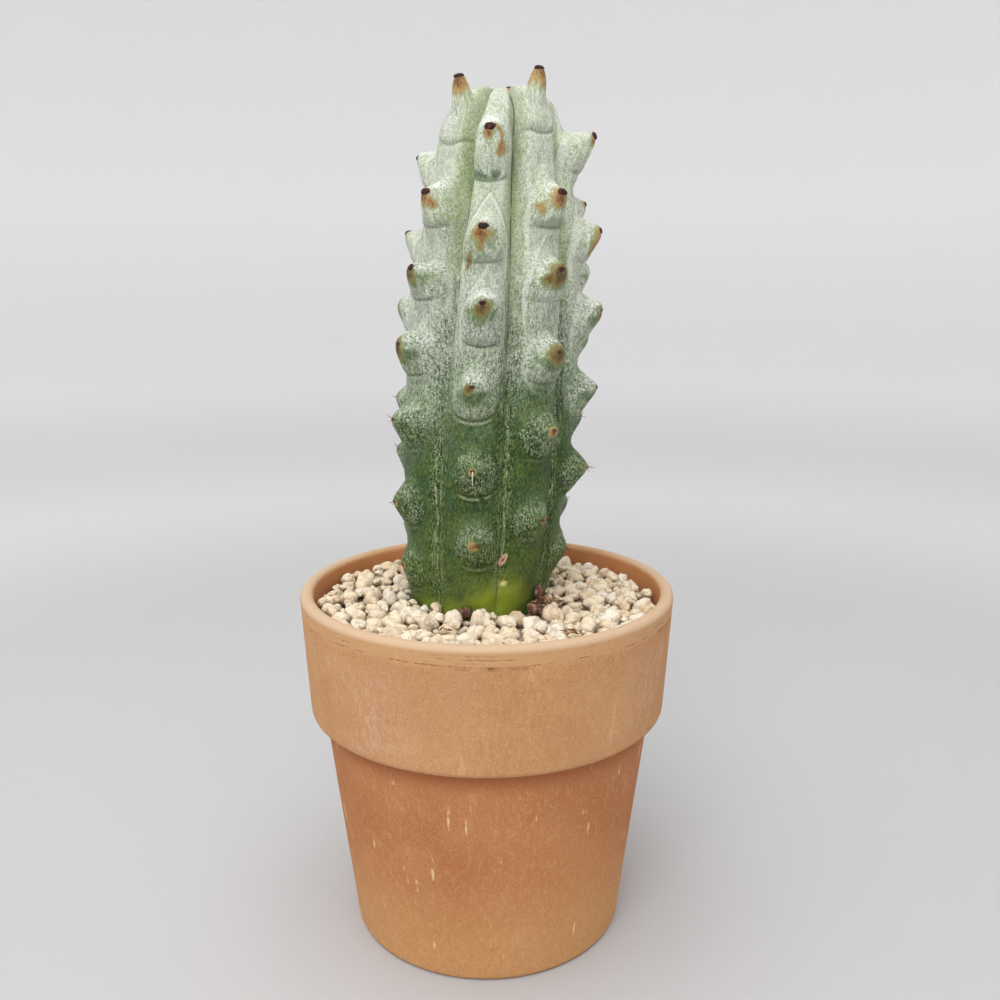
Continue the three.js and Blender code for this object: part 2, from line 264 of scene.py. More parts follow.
def size_at(size, place):
    """A size that changes up the stem, at a place."""
    first, added = size
    return first + sum(amount * smooth(place, start, end) for amount, start, end in added)


def lattice_noise(points, size, seed):
    """Smooth noise from -1 to 1 with features of about the given size."""
    scaled = np.asarray(points, float) / size + 500.5
    cell = np.floor(scaled).astype(np.int64)
    t = scaled - cell
    t = t * t * (3 - 2 * t)
    total = np.zeros(len(scaled))
    for corner in np.ndindex(2, 2, 2):
        x, y, z = (cell + corner).T
        mixed = (x * 73856093) ^ (y * 19349663) ^ (z * 83492791) ^ (seed * 2654435761)
        mixed = (mixed ^ (mixed >> 13)) * 1274126177 & 0xFFFFFFFF
        mixed = (mixed ^ (mixed >> 16)) * 2246822519 & 0xFFFFFFFF
        value = ((mixed ^ (mixed >> 15)) & 0xFFFFFFFF) / 2**31 - 1
        weight = np.prod(np.where(corner, t, 1 - t), axis=1)
        total += weight * value
    return total


def cloud(points, size, seed, octaves=3):
    """Noise with finer and finer detail, from about -1 to 1."""
    layers = [lattice_noise(points, size / 2**i, seed + i) / 2**i for i in range(octaves)]
    return sum(layers) / sum(0.5**i for i in range(octaves))


def mesh_piece(name, points, faces, material, fields=None):
    """A smooth-shaded mesh in metres from points in millimetres and faces of three or four corners."""
    mesh = bpy.data.meshes.new(name)
    sizes = np.array([len(group[0]) for group in faces for _ in group])
    corners = np.concatenate([np.asarray(group).ravel() for group in faces])
    mesh.vertices.add(len(points))
    mesh.vertices.foreach_set("co", (np.asarray(points, float) * MM).ravel())
    mesh.loops.add(len(corners))
    mesh.loops.foreach_set("vertex_index", corners.astype(np.int32))
    mesh.polygons.add(len(sizes))
    mesh.polygons.foreach_set("loop_start", (np.cumsum(sizes) - sizes).astype(np.int32))
    mesh.update(calc_edges=True)
    mesh.validate()
    for field, values in (fields or {}).items():
        vector = np.ndim(values) == 2
        attribute = mesh.attributes.new(field, "FLOAT_VECTOR" if vector else "FLOAT", "POINT")
        attribute.data.foreach_set("vector" if vector else "value", np.ravel(values).astype(np.float32))
    mesh.shade_smooth()
    mesh.materials.append(material)
    piece = bpy.data.objects.new(name, mesh)
    bpy.context.scene.collection.objects.link(piece)
    return piece


def tube_faces(rows, columns, first=0):
    """Quads of a grid of points whose columns close round, with its rows in order."""
    row, column = np.meshgrid(np.arange(rows - 1), np.arange(columns), indexing="ij")
    beside = (column + 1) % columns
    quads = [row * columns + column, row * columns + beside, (row + 1) * columns + beside]
    quads.append((row + 1) * columns + column)
    return first + np.stack(quads, axis=-1).reshape(-1, 4)


def unit(way):
    """A direction of length 1."""
    return way / np.linalg.norm(way)


def cap_faces(ring, pole, flipped):
    """Triangles from a ring of points to one point."""
    triangles = np.stack([ring, np.roll(ring, -1), np.full(len(ring), pole)], axis=1)
    return triangles[:, ::-1] if flipped else triangles


class Value:
    """A number, place or colour in a material's node tree. Working with it adds nodes to the tree."""

    def __init__(self, tree, socket):
        self.tree, self.socket = tree, socket

    def math(self, operation, *others):
        return self.tree.node("ShaderNodeMath", 0, dict(enumerate((self, *others))), operation=operation)

    def __add__(self, other):
        return self.math("ADD", other)

    def __sub__(self, other):
        return self.math("SUBTRACT", other)

    def __mul__(self, other):
        return self.math("MULTIPLY", other)

    def __abs__(self):
        return self.math("ABSOLUTE")

    def most(self, other):
        return self.math("MAXIMUM", other)

    def step(self, low, high, to_low=0.0, to_high=1.0):
        """A smooth step from to_low to to_high."""
        inputs = {"Value": self, "From Min": low, "From Max": high, "To Min": to_low, "To Max": to_high}
        return self.tree.node("ShaderNodeMapRange", "Result", inputs, interpolation_type="SMOOTHSTEP")

    def near(self, middle, edge, core):
        """1 within core of middle and 0 beyond edge."""
        return abs(self - middle).step(edge, core)

    def mix(self, first, second):
        """The first colour where this value is 0, the second where it is 1."""
        inputs = {0: self, 6: first, 7: second}
        return self.tree.node("ShaderNodeMix", 2, inputs, data_type="RGBA", blend_type="MIX")

    def coated(self, *coats):
        """This colour under coats of others, each given as (share, colour)."""
        colour = self
        for share, coat in coats:
            colour = share.mix(colour, coat)
        return colour

    def ramp(self, *stops):
        """A colour for this value, blended between (place, colour) stops."""
        colour = self.tree.node("ShaderNodeValToRGB", "Color", {"Fac": self})
        elements = colour.socket.node.color_ramp.elements
        while len(elements) < len(stops):
            elements.new(0.5)
        for element, (place, shade) in zip(elements, stops):
            element.position = place
            element.color = rgb(*shade)
        return colour

    def upward(self):
        return self.tree.node("ShaderNodeSeparateXYZ", 2, {0: self})

    def squeezed(self, height):
        """This place with its height scaled, which stretches a pattern upwards where height is below 1."""
        inputs = {"Vector": self, "Scale": (1, 1, height)}
        return self if height == 1 else self.tree.node("ShaderNodeMapping", "Vector", inputs)

    def noise(self, scale, detail, roughness, height=1):
        inputs = {"Vector": self.squeezed(height), "Scale": scale, "Detail": detail, "Roughness": roughness}
        return self.tree.node("ShaderNodeTexNoise", "Fac", inputs)

    def cells(self, scale, height=1):
        inputs = {"Vector": self.squeezed(height), "Scale": scale}
        return self.tree.node("ShaderNodeTexVoronoi", "Distance", inputs)


class Tree:
    """Writes the node tree of one material."""

    def __init__(self, name):
        self.material = bpy.data.materials.new(name)
        self.material.use_nodes = True
        self.nodes = self.material.node_tree.nodes
        self.shader = self.nodes["Principled BSDF"]

    def node(self, kind, output, inputs=None, **settings):
        """An output of a new node with its settings and inputs."""
        node = self.nodes.new(kind)
        for key, value in settings.items():
            setattr(node, key, value)
        for key, value in (inputs or {}).items():
            self.give(node.inputs[key], value)
        return Value(self, node.outputs[output])

    def give(self, socket, value):
        """Fills a socket with an output, a colour as red, green and blue out of 255, or a plain value."""
        if isinstance(value, Value):
            self.material.node_tree.links.new(value.socket, socket)
        else:
            socket.default_value = rgb(*value) if socket.type == "RGBA" else value

    def field(self, name, output="Fac"):
        return self.node("ShaderNodeAttribute", output, attribute_name=name)

    def position(self):
        return self.node("ShaderNodeTexCoord", "Object")

    def finish(self, colour, roughness, relief=None, depth=0.0, strength=0.8, gloss=None):
        """The material with its colour, roughness and fine relief, whose depth is in metres."""
        surface = {"Base Color": colour, "Roughness": roughness}
        if relief is not None:
            inputs = {"Height": relief, "Distance": depth, "Strength": strength}
            surface["Normal"] = self.node("ShaderNodeBump", "Normal", inputs)
        if gloss is not None:
            surface["Specular IOR Level"] = gloss
        for name, value in surface.items():
            self.give(self.shader.inputs[name], value)
        return self.material


def rgb(red, green, blue):
    """A colour from its sRGB values out of 255."""
    parts = [value / 255 for value in (red, green, blue)]
    linear = [p / 12.92 if p <= 0.04045 else ((p + 0.055) / 1.055) ** 2.4 for p in parts]
    return (*linear, 1.0)


def skin_material():
    """Green flesh under a milky film and white crust; rusty tips, cracks, creases in painted shade, a few
    marks.
    """
    tree = Tree("skin")
    flat = tree.field("flat", "Vector")
    place = flat.upward()
    blotch = flat.noise(0.12, 3, 0.55)
    patch = flat.noise(0.22, 4, 0.55)
    drift = flat.noise(0.5, 3, 0.6, 0.3)
    streak = flat.noise(2.3, 3, 0.62, 0.38)
    thread = flat.noise(1.3, 2, 0.4, 0.07)
    mottle = flat.noise(1.45, 3, 0.66, 0.6)
    speck = flat.noise(2.5, 3, 0.74, 0.85)
    crackle = flat.noise(1.3, 2, 0.5)
    grain = flat.noise(4.5, 2, 0.6)
    dots = flat.cells(1.75, 0.8)
    dome, bloomed, furrow = tree.field("dome"), tree.field("bloomed"), tree.field("furrow_gap")
    lobe_gap, lobe_on = tree.field("lobe_gap"), tree.field("lobe_on")
    crease_gap, scar_gap = tree.field("crease_gap"), tree.field("scar_gap")
    top = place.step(200, 240)
    upper = place.step(166, 210)

    # Flesh, with lines and mottles that show above, near the furrows and on the domes
    lined = place.step(165, 195, 0.4, 1).most(furrow.step(4.5, 2)).most(dome)
    flesh = (blotch * 24 + place).step(112, 287).ramp(
        (0.0, (98, 116, 52)),
        (0.15, (64, 88, 38)),
        (0.32, (56, 80, 36)),
        (0.48, (72, 98, 48)),
        (0.66, (128, 150, 84)),
        (0.92, (172, 186, 112)),
    )
    flesh = flesh.coated(
        (patch.step(0.5, 0.6, 0, 0.6), top.mix((40, 76, 48), (146, 166, 104))),
        (patch.step(0.48, 0.38, 0, 0.55), top.mix((80, 98, 34), (172, 184, 112))),
        (streak.step(0.5, 0.6, 0, 0.6) * lined, top.mix((128, 152, 88), (204, 210, 160))),
        (streak.step(0.5, 0.38, 0, 0.65) * lined, top.mix((32, 52, 24), (124, 146, 84))),
        (speck.step(0.46, 0.39, 0, 0.5), (28, 48, 24)),
        (mottle.step(0.48, 0.41, 0, 0.75) * lined, top.mix((24, 42, 22), (134, 158, 92))),
        (mottle.step(0.54, 0.61, 0, 0.7) * lined, top.mix((118, 148, 90), (198, 208, 150))),
        (tree.field("lush"), (172, 190, 122)),
        (tree.field("glow"), (152, 164, 50)),
    )

    # Film, shade, and the threads, grooves, glints and beads along the furrows
    film = tree.field("film") * streak.step(0.38, 0.6, 0.5, 1.16) * mottle.step(0.42, 0.56, 0.72, 1.06)
    film = film * drift.step(0.4, 0.6, 0.74, 1.24)
    shade = speck.step(0.495, 0.41, 0, 0.75) * bloomed.most(dome * 0.8)
    near_furrow = furrow.step(2.8, 1.4) * place.step(215, 190)
    threads = thread.near(0.5, 0.045, 0.01) * speck.step(0.4, 0.52, 0.1, 0.45)
    threads = threads * (near_furrow * blotch.step(0.42, 0.58))
    grooves = thread.near(0.42, 0.04, 0.01) * furrow.step(4.5, 2.5, 0.0, 0.75)
    grooves = grooves * (place.step(212, 190) * place.step(116, 124))
    glints = dots.step(0.3, 0.16) * patch.step(0.42, 0.54, 0.1, 0.75)
    glints = glints * near_furrow.most(dome * 0.65) * place.step(112, 122)
    beads = abs(thread * 3.2 + (furrow - 2.5)).step(0.2, 0.05) * place.step(205, 185) * place.step(110, 124)
    beads = beads * patch.step(0.42, 0.54, 0.15, 0.85) * speck.step(0.44, 0.54)
    colour = film.mix(flesh, upper.mix((184, 200, 164), (238, 242, 228))).coated(
        (shade, upper.mix((46, 62, 38), (136, 156, 110))),
        (threads, (178, 196, 146)),
        (grooves, (34, 52, 28)),
        (glints, (196, 212, 170)),
        (beads, (206, 218, 168)),
    )

    # White crust and dust, the lobes' outlines, cracks and slits
    rings = (tree.field("tip_gap") * 5.5 + patch * 14).math("SINE")
    crust = rings * dome * 0.05 + tree.field("crust")
    white = (crust * 0.42 + (patch * 0.08 + (streak * 0.34 + speck * 0.58))).step(0.675, 0.745)
    seam = furrow.step(1.2, 0.3) * place.step(200, 180)
    dust = dots.step(0.34, 0.22) * streak.step(0.42, 0.5)
    white = white.most(dust * crust.step(0.15, 0.4).most(seam)) * bloomed.step(0.0, 0.6, 0.55, 0.9)
    white = white.most(abs(lobe_gap).step(0.55, 0.2) * lobe_on * speck.step(0.36, 0.5, 0.55, 1.0))
    chalk = grain.step(0.35, 0.7).mix((214, 218, 206), (244, 246, 238))
    chalk = chalk.coated((bloomed.step(0.3, 0.0, 0.0, 0.65), (182, 198, 150)))
    cracks = crackle.near(0.5, 0.035, 0.008) * tree.field("lobe") * (bloomed * 0.5)
    beside = lobe_gap.near(0.75, 0.35, 0.1) * (lobe_on * speck.step(0.4, 0.6, 0.15, 0.5))
    slit = furrow.step(0.42, 0.15) * place.step(190, 225, 0.35, 0.8) * blotch.step(0.35, 0.5, 0.3, 1)
    colour = colour.coated(
        (white, chalk),
        (cracks, top.mix((70, 90, 56), (150, 162, 134))),
        (beside, top.mix((66, 92, 44), (118, 140, 84))),
        (slit, (66, 88, 44)),
    )

    # Rusty tips, brown and olive half way up the stem
    stain = (streak - 0.5) * 1.1 + ((patch - 0.5) * 1.2 + tree.field("stain"))
    bronze = (stain * 0.7).ramp(
        (0.05, (80, 46, 28)),
        (0.16, (88, 80, 44)),
        (0.32, (124, 98, 54)),
        (0.5, (140, 132, 82)),
        (0.75, (110, 132, 80)),
    )
    rust = (stain * 0.7).ramp(
        (0.05, (84, 44, 22)),
        (0.2, (146, 96, 50)),
        (0.38, (192, 154, 96)),
        (0.58, (176, 166, 104)),
        (0.8, (138, 148, 88)),
    )
    rust = rust.coated(
        (speck.step(0.48, 0.62, 0, 0.7), (112, 66, 34)),
        (grain.step(0.56, 0.72, 0, 0.6), (222, 208, 160)),
        (place.step(164, 176) * place.step(222, 208), bronze),
    )

    # Creases in painted shade, with a green band above, partly bare skin and partly painted shade under the
    # tubercle, and a pale lip below; the corky scar and the pale fleck
    crease_shade = abs(crease_gap).step(0.45, 0.12) * tree.field("crease_on")
    band = ((speck - 0.5) * 2.5 + crease_gap).near(1.2, 1.4, 0.4) * tree.field("band")
    lip = crease_gap.near(-0.95, 0.65, 0.15) * tree.field("lip")
    fleck = (speck - 0.5) * 4 + tree.field("fleck_gap")
    colour = colour.coated(
        (stain.step(1.25, 0.7, 0, 0.95), rust),
        # Painted shade in the creases
        (crease_shade * 0.6, top.mix((52, 68, 40), (110, 128, 94))),
        # Green band above each crease: partly bare skin, partly painted shade under the tubercle
        (band * speck.step(0.42, 0.56, 0.5, 1.0), (88, 114, 80)),
        (lip * speck.step(0.4, 0.55, 0.2, 0.9), top.mix((190, 200, 170), (228, 232, 216))),
        (scar_gap.step(1.15, 0.95), grain.step(0.4, 0.6).mix((176, 130, 100), (232, 200, 170))),
        (scar_gap.step(0.5, 0.25, 0, 0.85), (112, 66, 52)),
        (fleck.step(1.1, 0.7), (226, 226, 150)),
    )
    relief = dots.step(0.4, 0.1) * 0.4 + (streak * 0.6 + grain * 0.4 + white * 0.6)
    return tree.finish(colour, white.step(0.0, 0.6, 0.45, 0.9), relief, 0.24 * MM, gloss=0.2)


def felt_material():
    tree = Tree("areole_felt")
    position = tree.position()
    fine = position.noise(2600, 3, 0.65)
    fold = position.noise(900, 2, 0.6)
    young = fold.step(0.4, 0.7).mix((34, 11, 9), (88, 36, 26))
    old = fine.step(0.35, 0.7).mix((40, 20, 14), (150, 104, 66))
    colour = tree.field("age").mix(young, old)
    return tree.finish(colour, fine.step(0.3, 0.7, 0.7, 0.95), fine, 0.2 * MM)


def spine_material():
    tree = Tree("spine")
    mottle = tree.position().noise(900, 2, 0.5)
    colour = mottle.mix((92, 52, 40), (150, 132, 120)).coated(
        (tree.field("along").step(0.55, 1.0), (48, 24, 20)),
        (tree.field("pale"), (224, 216, 204)),
    )
    return tree.finish(colour, mottle.step(0.3, 0.7, 0.5, 0.75))


def clay_material():
    """Sandy clay with a lighter collar, salty stains, flecks and brushed marks, painted bounce light low on
    the body and a painted shadow under the collar.
    """
    tree = Tree("fired_clay")
    position = tree.position()
    height = position.upward()
    broad = position.noise(26, 3, 0.55).step(0.38, 0.62)
    medium = position.noise(120, 3, 0.6)
    brushed = position.noise(760, 3, 0.7, 0.4)
    scratch = position.noise(340, 2, 0.5, 0.13)
    sand = position.noise(2300, 3, 0.7)
    broken = position.noise(700, 3, 0.7).step(0.42, 0.55)
    pits = position.cells(800, 0.35).step(0.02, 0.2)
    on_collar = height.step(71.5 * MM, 73.5 * MM)
    body = broad.mix((184, 120, 76), (194, 132, 86))
    # Painted light bounced up from the floor: the body paler towards its foot
    body = body.coated((height.step(42 * MM, 2 * MM, 0, 0.8), (214, 162, 108)))
    worn = scratch.step(0.665, 0.7) * medium.step(0.46, 0.56) * on_collar.step(0.0, 1.0, 1.0, 0.2)
    colour = on_collar.mix(body, broad.mix((196, 145, 101), (202, 153, 106))).coated(
        (brushed.step(0.5, 0.68, 0, on_collar.step(0.0, 1.0, 0.16, 0.24)), (184, 110, 68)),
        (brushed.step(0.5, 0.32, 0, 0.2), (230, 184, 136)),
        (brushed.step(0.42, 0.6) * tree.field("salt") * 0.85, (224, 186, 162)),
        (medium.step(0.52, 0.78, 0, 0.3), (224, 176, 126)),
        (sand.step(0.5, 0.7, 0, 0.45), (172, 108, 66)),
        (sand.step(0.48, 0.3, 0, 0.4), (234, 192, 142)),
        (worn * 0.8, (240, 206, 158)),
        (tree.field("band"), (212, 168, 122)),
        (tree.field("rim") * sand.step(0.38, 0.56, 0.6, 1.0), (204, 177, 148)),
        (tree.field("trim") * broken * 0.85, (132, 82, 50)),
        (tree.field("inside") * 0.85, (204, 138, 92)),
        # Painted shadow under the collar's overhang
        (tree.field("collar_shadow") * 0.8, (168, 98, 60)),
        (pits.step(0.0, 1.0, 0.3, 0.0), (156, 98, 60)),
    )
    relief = sand * 0.6 + brushed * 0.4 + pits * 0.3
    return tree.finish(colour, sand.step(0.3, 0.7, 0.85, 0.97), relief, 0.18 * MM, 0.7, gloss=0.2)


def stone_material():
    tree = Tree("gravel")
    position = tree.position()
    blotch = position.noise(420, 3, 0.6)
    lumps = position.noise(900, 2, 0.55)
    grain = position.noise(1900, 3, 0.7)
    pits = position.cells(1000).step(0.06, 0.26)
    colour = tree.field("tone").ramp(
        (0.0, (240, 218, 186)),
        (0.2, (250, 238, 212)),
        (0.45, (246, 228, 198)),
        (0.65, (252, 244, 228)),
        (0.85, (236, 210, 178)),
        (1.0, (248, 230, 208)),
    )
    colour = colour.coated(
        (blotch.step(0.48, 0.7, 0, 0.5), (236, 210, 168)),
        (grain.step(0.54, 0.78, 0, 0.35), (206, 176, 136)),
        (pits.step(0.0, 1.0, 0.8, 0.0) * blotch.step(0.45, 0.6), (130, 98, 68)),
        (lumps.near(0.5, 0.035, 0.0) * 0.2, (150, 120, 88)),
        # Painted shade in the clefts between each pebble's knobs
        (tree.field("crevice_shade"), (140, 108, 78)),
        # Painted shade in the deep gaps between the stones and on their undersides
        (tree.field("deep"), (78, 54, 36)),
    )
    relief = abs(lumps - 0.5) * 3 + (grain * 0.4 + pits * 0.25)
    return tree.finish(colour, grain.step(0.3, 0.7, 0.88, 0.98), relief, 0.42 * MM, gloss=0.25)


def bark_material():
    tree = Tree("dried_bark")
    position = tree.position()
    ridges = position.noise(900, 4, 0.7, 0.4)
    fine = position.noise(2600, 3, 0.7)
    colour = ridges.ramp(
        (0.3, (44, 22, 20)),
        (0.47, (96, 60, 48)),
        (0.6, (156, 118, 96)),
        (0.74, (216, 190, 164)),
    )
    colour = colour.coated((fine.step(0.55, 0.8, 0, 0.5), (52, 30, 26)))
    return tree.finish(colour, fine.step(0.3, 0.7, 0.8, 0.95), ridges * 0.6 + fine * 0.4, 0.3 * MM)


def straw_material():
    tree = Tree("straw")
    mottle = tree.position().noise(700, 3, 0.6)
    colour = mottle.step(0.4, 0.62).mix((84, 52, 38), (196, 158, 118))
    return tree.finish(colour, mottle.step(0.3, 0.7, 0.75, 0.9))


def soil_material():
    tree = Tree("potting_mix")
    position = tree.position()
    crumbs = position.cells(420)
    fine = position.noise(1300, 4, 0.7)
    colour = fine.mix((34, 24, 18), (92, 68, 50))
    colour = colour.coated((crumbs.step(0.2, 0.6, 0.0, 0.5), (24, 17, 13)))
    return tree.finish(colour, fine.step(0.3, 0.7, 0.88, 1.0), fine - crumbs * 0.8, 1.0 * MM, 0.9)


def floor_material():
    tree = Tree("pale_floor")
    position = tree.position()
    haze = position.noise(3, 2, 0.5)
    height = position.upward()
    away = tree.node("ShaderNodeVectorMath", "Value", {0: position}, operation="LENGTH")
    # Painted shade: the floor darker near the plant, where the lamps light it most; painted light: paler up
    # the wall
    near = haze.mix((182, 182, 183), (186, 186, 187))
    far = haze.mix((213, 213, 214), (217, 217, 218))
    colour = away.step(0.35, 0.72).mix(near, far).coated(
        (height.step(-0.02, 0.06), (234, 234, 235)),
        (height.step(0.05, 0.4), (249, 249, 250)),
    )
    return tree.finish(colour, haze.step(0.3, 0.7, 0.85, 0.9))


def rib_bearing(rib, place):
    """Azimuth of a rib's crest at a place, in radians, on a smooth line through its three bearings."""
    foot, middle, top = RIBS[rib][0]
    up = np.clip((place - STEM_FOOT[2]) / (SHOULDER_HEIGHT - STEM_FOOT[2]), 0, 1.1)
    bend = 2 * (foot + top - 2 * middle)
    return np.radians(foot + (top - foot - bend) * up + bend * up * up)


def crest_line(place):
    """Radius, height and facing of a rib's crest without tubercles; facing turns from 0, outwards, to up."""
    place = np.asarray(place, float)
    facing = np.clip((place - SHOULDER_HEIGHT) / CROWN_ARC, 0, 1) * TURN / 4
    upper = place > BELLY_HEIGHT
    end = np.where(upper, SHOULDER_HEIGHT, STEM_FOOT[2])
    end_radius = np.where(upper, SHOULDER_RADIUS, FOOT_RADIUS)
    shown = np.clip(place, RIBS_START, SHOULDER_HEIGHT)
    away = (shown - BELLY_HEIGHT) / (end - BELLY_HEIGHT)
    radius = BELLY_RADIUS + (end_radius - BELLY_RADIUS) * away**2
    depth = np.clip((RIBS_START - place) / (RIBS_START - STEM_BOTTOM), 0, 1)
    radius = radius + (BOTTOM_RADIUS - radius) * depth
    radius = radius * np.cos(facing).clip(0) ** CROWN_SQUARENESS[0]
    rise = CROWN_RISE * np.sin(facing) ** CROWN_SQUARENESS[1]
    dimple = CROWN_DIMPLE * np.clip(1 - radius / DIMPLE_RADIUS, 0, 1) ** 2
    height = np.minimum(place, SHOULDER_HEIGHT) + np.where(facing > 0, rise - dimple, 0)
    return radius, height, facing


def from_axis(radius, azimuth, height):
    """Points at a radius from the stem's leaning axis."""
    axis = STEM_FOOT[0] + (height - STEM_FOOT[2]) * math.tan(STEM_LEAN)
    x, y = axis + radius * np.sin(azimuth), STEM_FOOT[1] - radius * np.cos(azimuth)
    return np.stack([x, y, height], axis=-1)


def softly_capped(value, rounding):
    """The smaller of value and 1, with a rounded corner."""
    blend = np.clip(0.5 + (1 - value) / (2 * rounding), 0, 1)
    return 1 + (value - 1) * blend - rounding * blend * (1 - blend)


def tubercle_slope(up, aside, areole, flat_top=False):
    """Height of a tubercle from 1 at its tip to 0 at its edge; up and aside are in millimetres."""
    horn = float(smooth(areole, 250, 257))
    narrow = 1 - HORN_NARROWING * horn
    along = np.where(up > 0, up / (FLAT_TOP_UP if flat_top else TUBERCLE_UP), up / TUBERCLE_DOWN)
    side = TUBERCLE_SIDE * (1 - TUBERCLE_NARROWING * np.clip(along, 0, None))
    away = np.hypot(along, aside / side)
    cone = np.clip(1 - away, 0, None) ** TUBERCLE_POINT
    blunt = np.clip(1 - (away / narrow) ** HORN_FLATNESS[0], 0, None) ** HORN_FLATNESS[1]
    cone = softly_capped(cone / size_at(TUBERCLE_BLUNT, areole), TIP_ROUNDING)
    return cone + (0.75 * blunt + 0.25 * cone - cone) * horn


def tubercles():
    """(rib, place) of every tubercle."""
    return [(rib, place) for rib, (_, areoles) in enumerate(RIBS) for place in areoles]


def tip_shift(rib, areole):
    """How far aside and up a tubercle stands off its place on the rib's crest."""
    return TIP_SHIFTS.get((rib, areole), (0.0, 0.0))


def aside_of(rib, azimuth, place, radius):
    """How far round from a rib's crest, in millimetres."""
    turned = azimuth - rib_bearing(rib, place)
    return wrapped(turned) * radius


def furrow_shape(across, place):
    """Depth across a rib, 0 at its crest and 1 in the furrow. Young ribs have flat faces and shoulders."""
    young = 0.85 * smooth(place, 150, 225)
    shouldered = smooth(np.abs(across), 0.5, 1.0)
    return (1 - young) * np.abs(across) ** FURROW_SHARPNESS + young * shouldered


def lobe_edge(up, aside, areole):
    """Distance out from a lobe's outline: a pointed arch when young, a round dome when old."""
    arch = ARCH_HALF * (1 - (np.clip(up + ARCH_START, 0, None) / ARCH_RISE) ** 1.8)
    pointed = 0.8 * (np.abs(aside) - arch)
    dome = np.hypot(aside, up + DOME_DROP) - DOME_RADIUS
    return dome + (pointed - dome) * smooth(areole, 175, 205)


def skin_points(azimuth, across, place, relief=True):
    """Points of the skin, and fields of gaps from its creases, lobes' outlines and furrows."""
    radius, height, facing = crest_line(place)
    base_radius = radius.copy()
    push = -radius * size_at(FURROW_DEPTH, place) * furrow_shape(across, place)
    furrow_gap = (1 - np.abs(across)) * math.pi / len(RIBS) * base_radius
    marks = {"furrow_gap": furrow_gap}
    marks |= {name: np.full(len(place), FAR_GAP) for name in ("lobe_gap", "crease_gap")}
    marks |= {name: np.zeros(len(place)) for name in ("lobe", "lobe_on", "crease_on", "band", "lip", "tip")}
    random = np.random.default_rng(17)
    for rib, areole in tubercles():
        shift_aside, shift_up = tip_shift(rib, areole)
        near = np.flatnonzero(np.abs(place - areole) < TUBERCLE_ZONE)
        up = place[near] - areole - shift_up
        aside = aside_of(rib, azimuth[near], place[near], base_radius[near]) - shift_aside
        set_back = FLAT_TOPS.get((rib, areole), 0)
        slope = tubercle_slope(up, aside, areole, set_back > 0)
        reach, lift = size_at(TUBERCLE_REACH, areole), size_at(TUBERCLE_LIFT, areole)
        kept = 1 - TIP_TRIM / math.hypot(reach, lift)
        radius[near] += slope * reach * kept
        height[near] += slope * lift * kept
        marks["tip"][near] = np.maximum(marks["tip"][near], slope)
        drawn = LOBE_LINES.get((rib, areole), random.uniform(0.0, 0.6))
        band, lip, lower = CREASE_LOOKS.get((rib, areole), (*random.uniform(0.0, (0.3, 0.7)), 0.0))
        clearly = min(1, band + lip)
        if relief:
            narrow = falling(np.abs(aside), 5, 11)
            push[near] -= set_back * narrow * smooth(up, 1, 4.5) * falling(up, 9, 16)
            old = float(falling(areole, 165, 215))
            line = up + size_at(CREASE_DROP, areole) + lower - CREASE_BEND * aside**2
            here = falling(np.abs(aside), CREASE_REACH - 1.4, CREASE_REACH + 0.8)
            groove = here * bell(line, CREASE_WIDTH)
            below = here * bell(line + 1.1, 0.6) * (1 + 0.6 * old)
            folds = here * bell(line - 1.9, 1.7) * np.cos(line * TURN / 1.3)
            edge = lobe_edge(up, aside, areole)
            blur = 0.3 + 0.6 * old
            inside = smooth(-edge, -blur, blur) * smooth(line, -0.3, 0.4)
            shown = smooth(up, -12, -7) * (1 - old) * (1 - (1 - drawn) * smooth(up, 0, 5))
            shown = shown * (0.5 + 0.5 * drawn)
            crumpled = -CREASE_CUT * groove + LIP_RISE * below + FOLDS_RISE * folds
            push[near] += crumpled * (0.45 + 0.55 * clearly)
            push[near] += OUTLINE_RISE * shown * bell(edge, OUTLINE_WIDTH)
            step = LOBE_STEP * (1 - 0.5 * old)
            push[near] += np.clip(step * (inside - marks["lobe"][near]), 0, None)
            marks["lobe"][near] = np.maximum(marks["lobe"][near], inside)
            closer = np.abs(edge) < np.abs(marks["lobe_gap"][near])
            marks["lobe_gap"][near[closer]] = edge[closer]
            marks["lobe_on"][near[closer]] = shown[closer]
            beside = np.abs(line) < np.abs(marks["crease_gap"][near])
            creased = near[beside]
            marks["crease_gap"][creased] = line[beside]
            # Painted shade along each crease; its green band above is partly painted shade under the
            # tubercle
            marks["crease_on"][creased] = here[beside] * smooth(areole, 130, 190) * (0.2 + 0.8 * clearly)
            marks["band"][creased] = here[beside] * band * smooth(areole, 170, 200)
            marks["lip"][creased] = here[beside] * lip * (1 - 0.35 * old)
    if relief:
        flat = flat_points(azimuth, place)
        fade = smooth(place, 96, 104)
        push -= fade * size_at(SLIT_DEPTH, place) * bell(furrow_gap, SLIT_WIDTH)
        fade = fade * (1 - 0.9 * smooth(marks["tip"], 0.55, 0.95))
        push += fade * sum(wave * lattice_noise(flat, size, seed) for wave, size, seed in SKIN_WAVES)
        push += fade * FINE_WAVES * cloud(flat * (1, 1, 0.5), 1.3, 5, 2)
    radius = radius + push * np.cos(facing)
    height = height + push * np.sin(facing)
    return from_axis(radius, azimuth, height), marks


def flat_points(azimuth, place):
    """The skin unrolled on a straight cylinder, for patterns that run up the ribs."""
    return np.stack([BELLY_RADIUS * np.sin(azimuth), -BELLY_RADIUS * np.cos(azimuth), place], axis=-1)


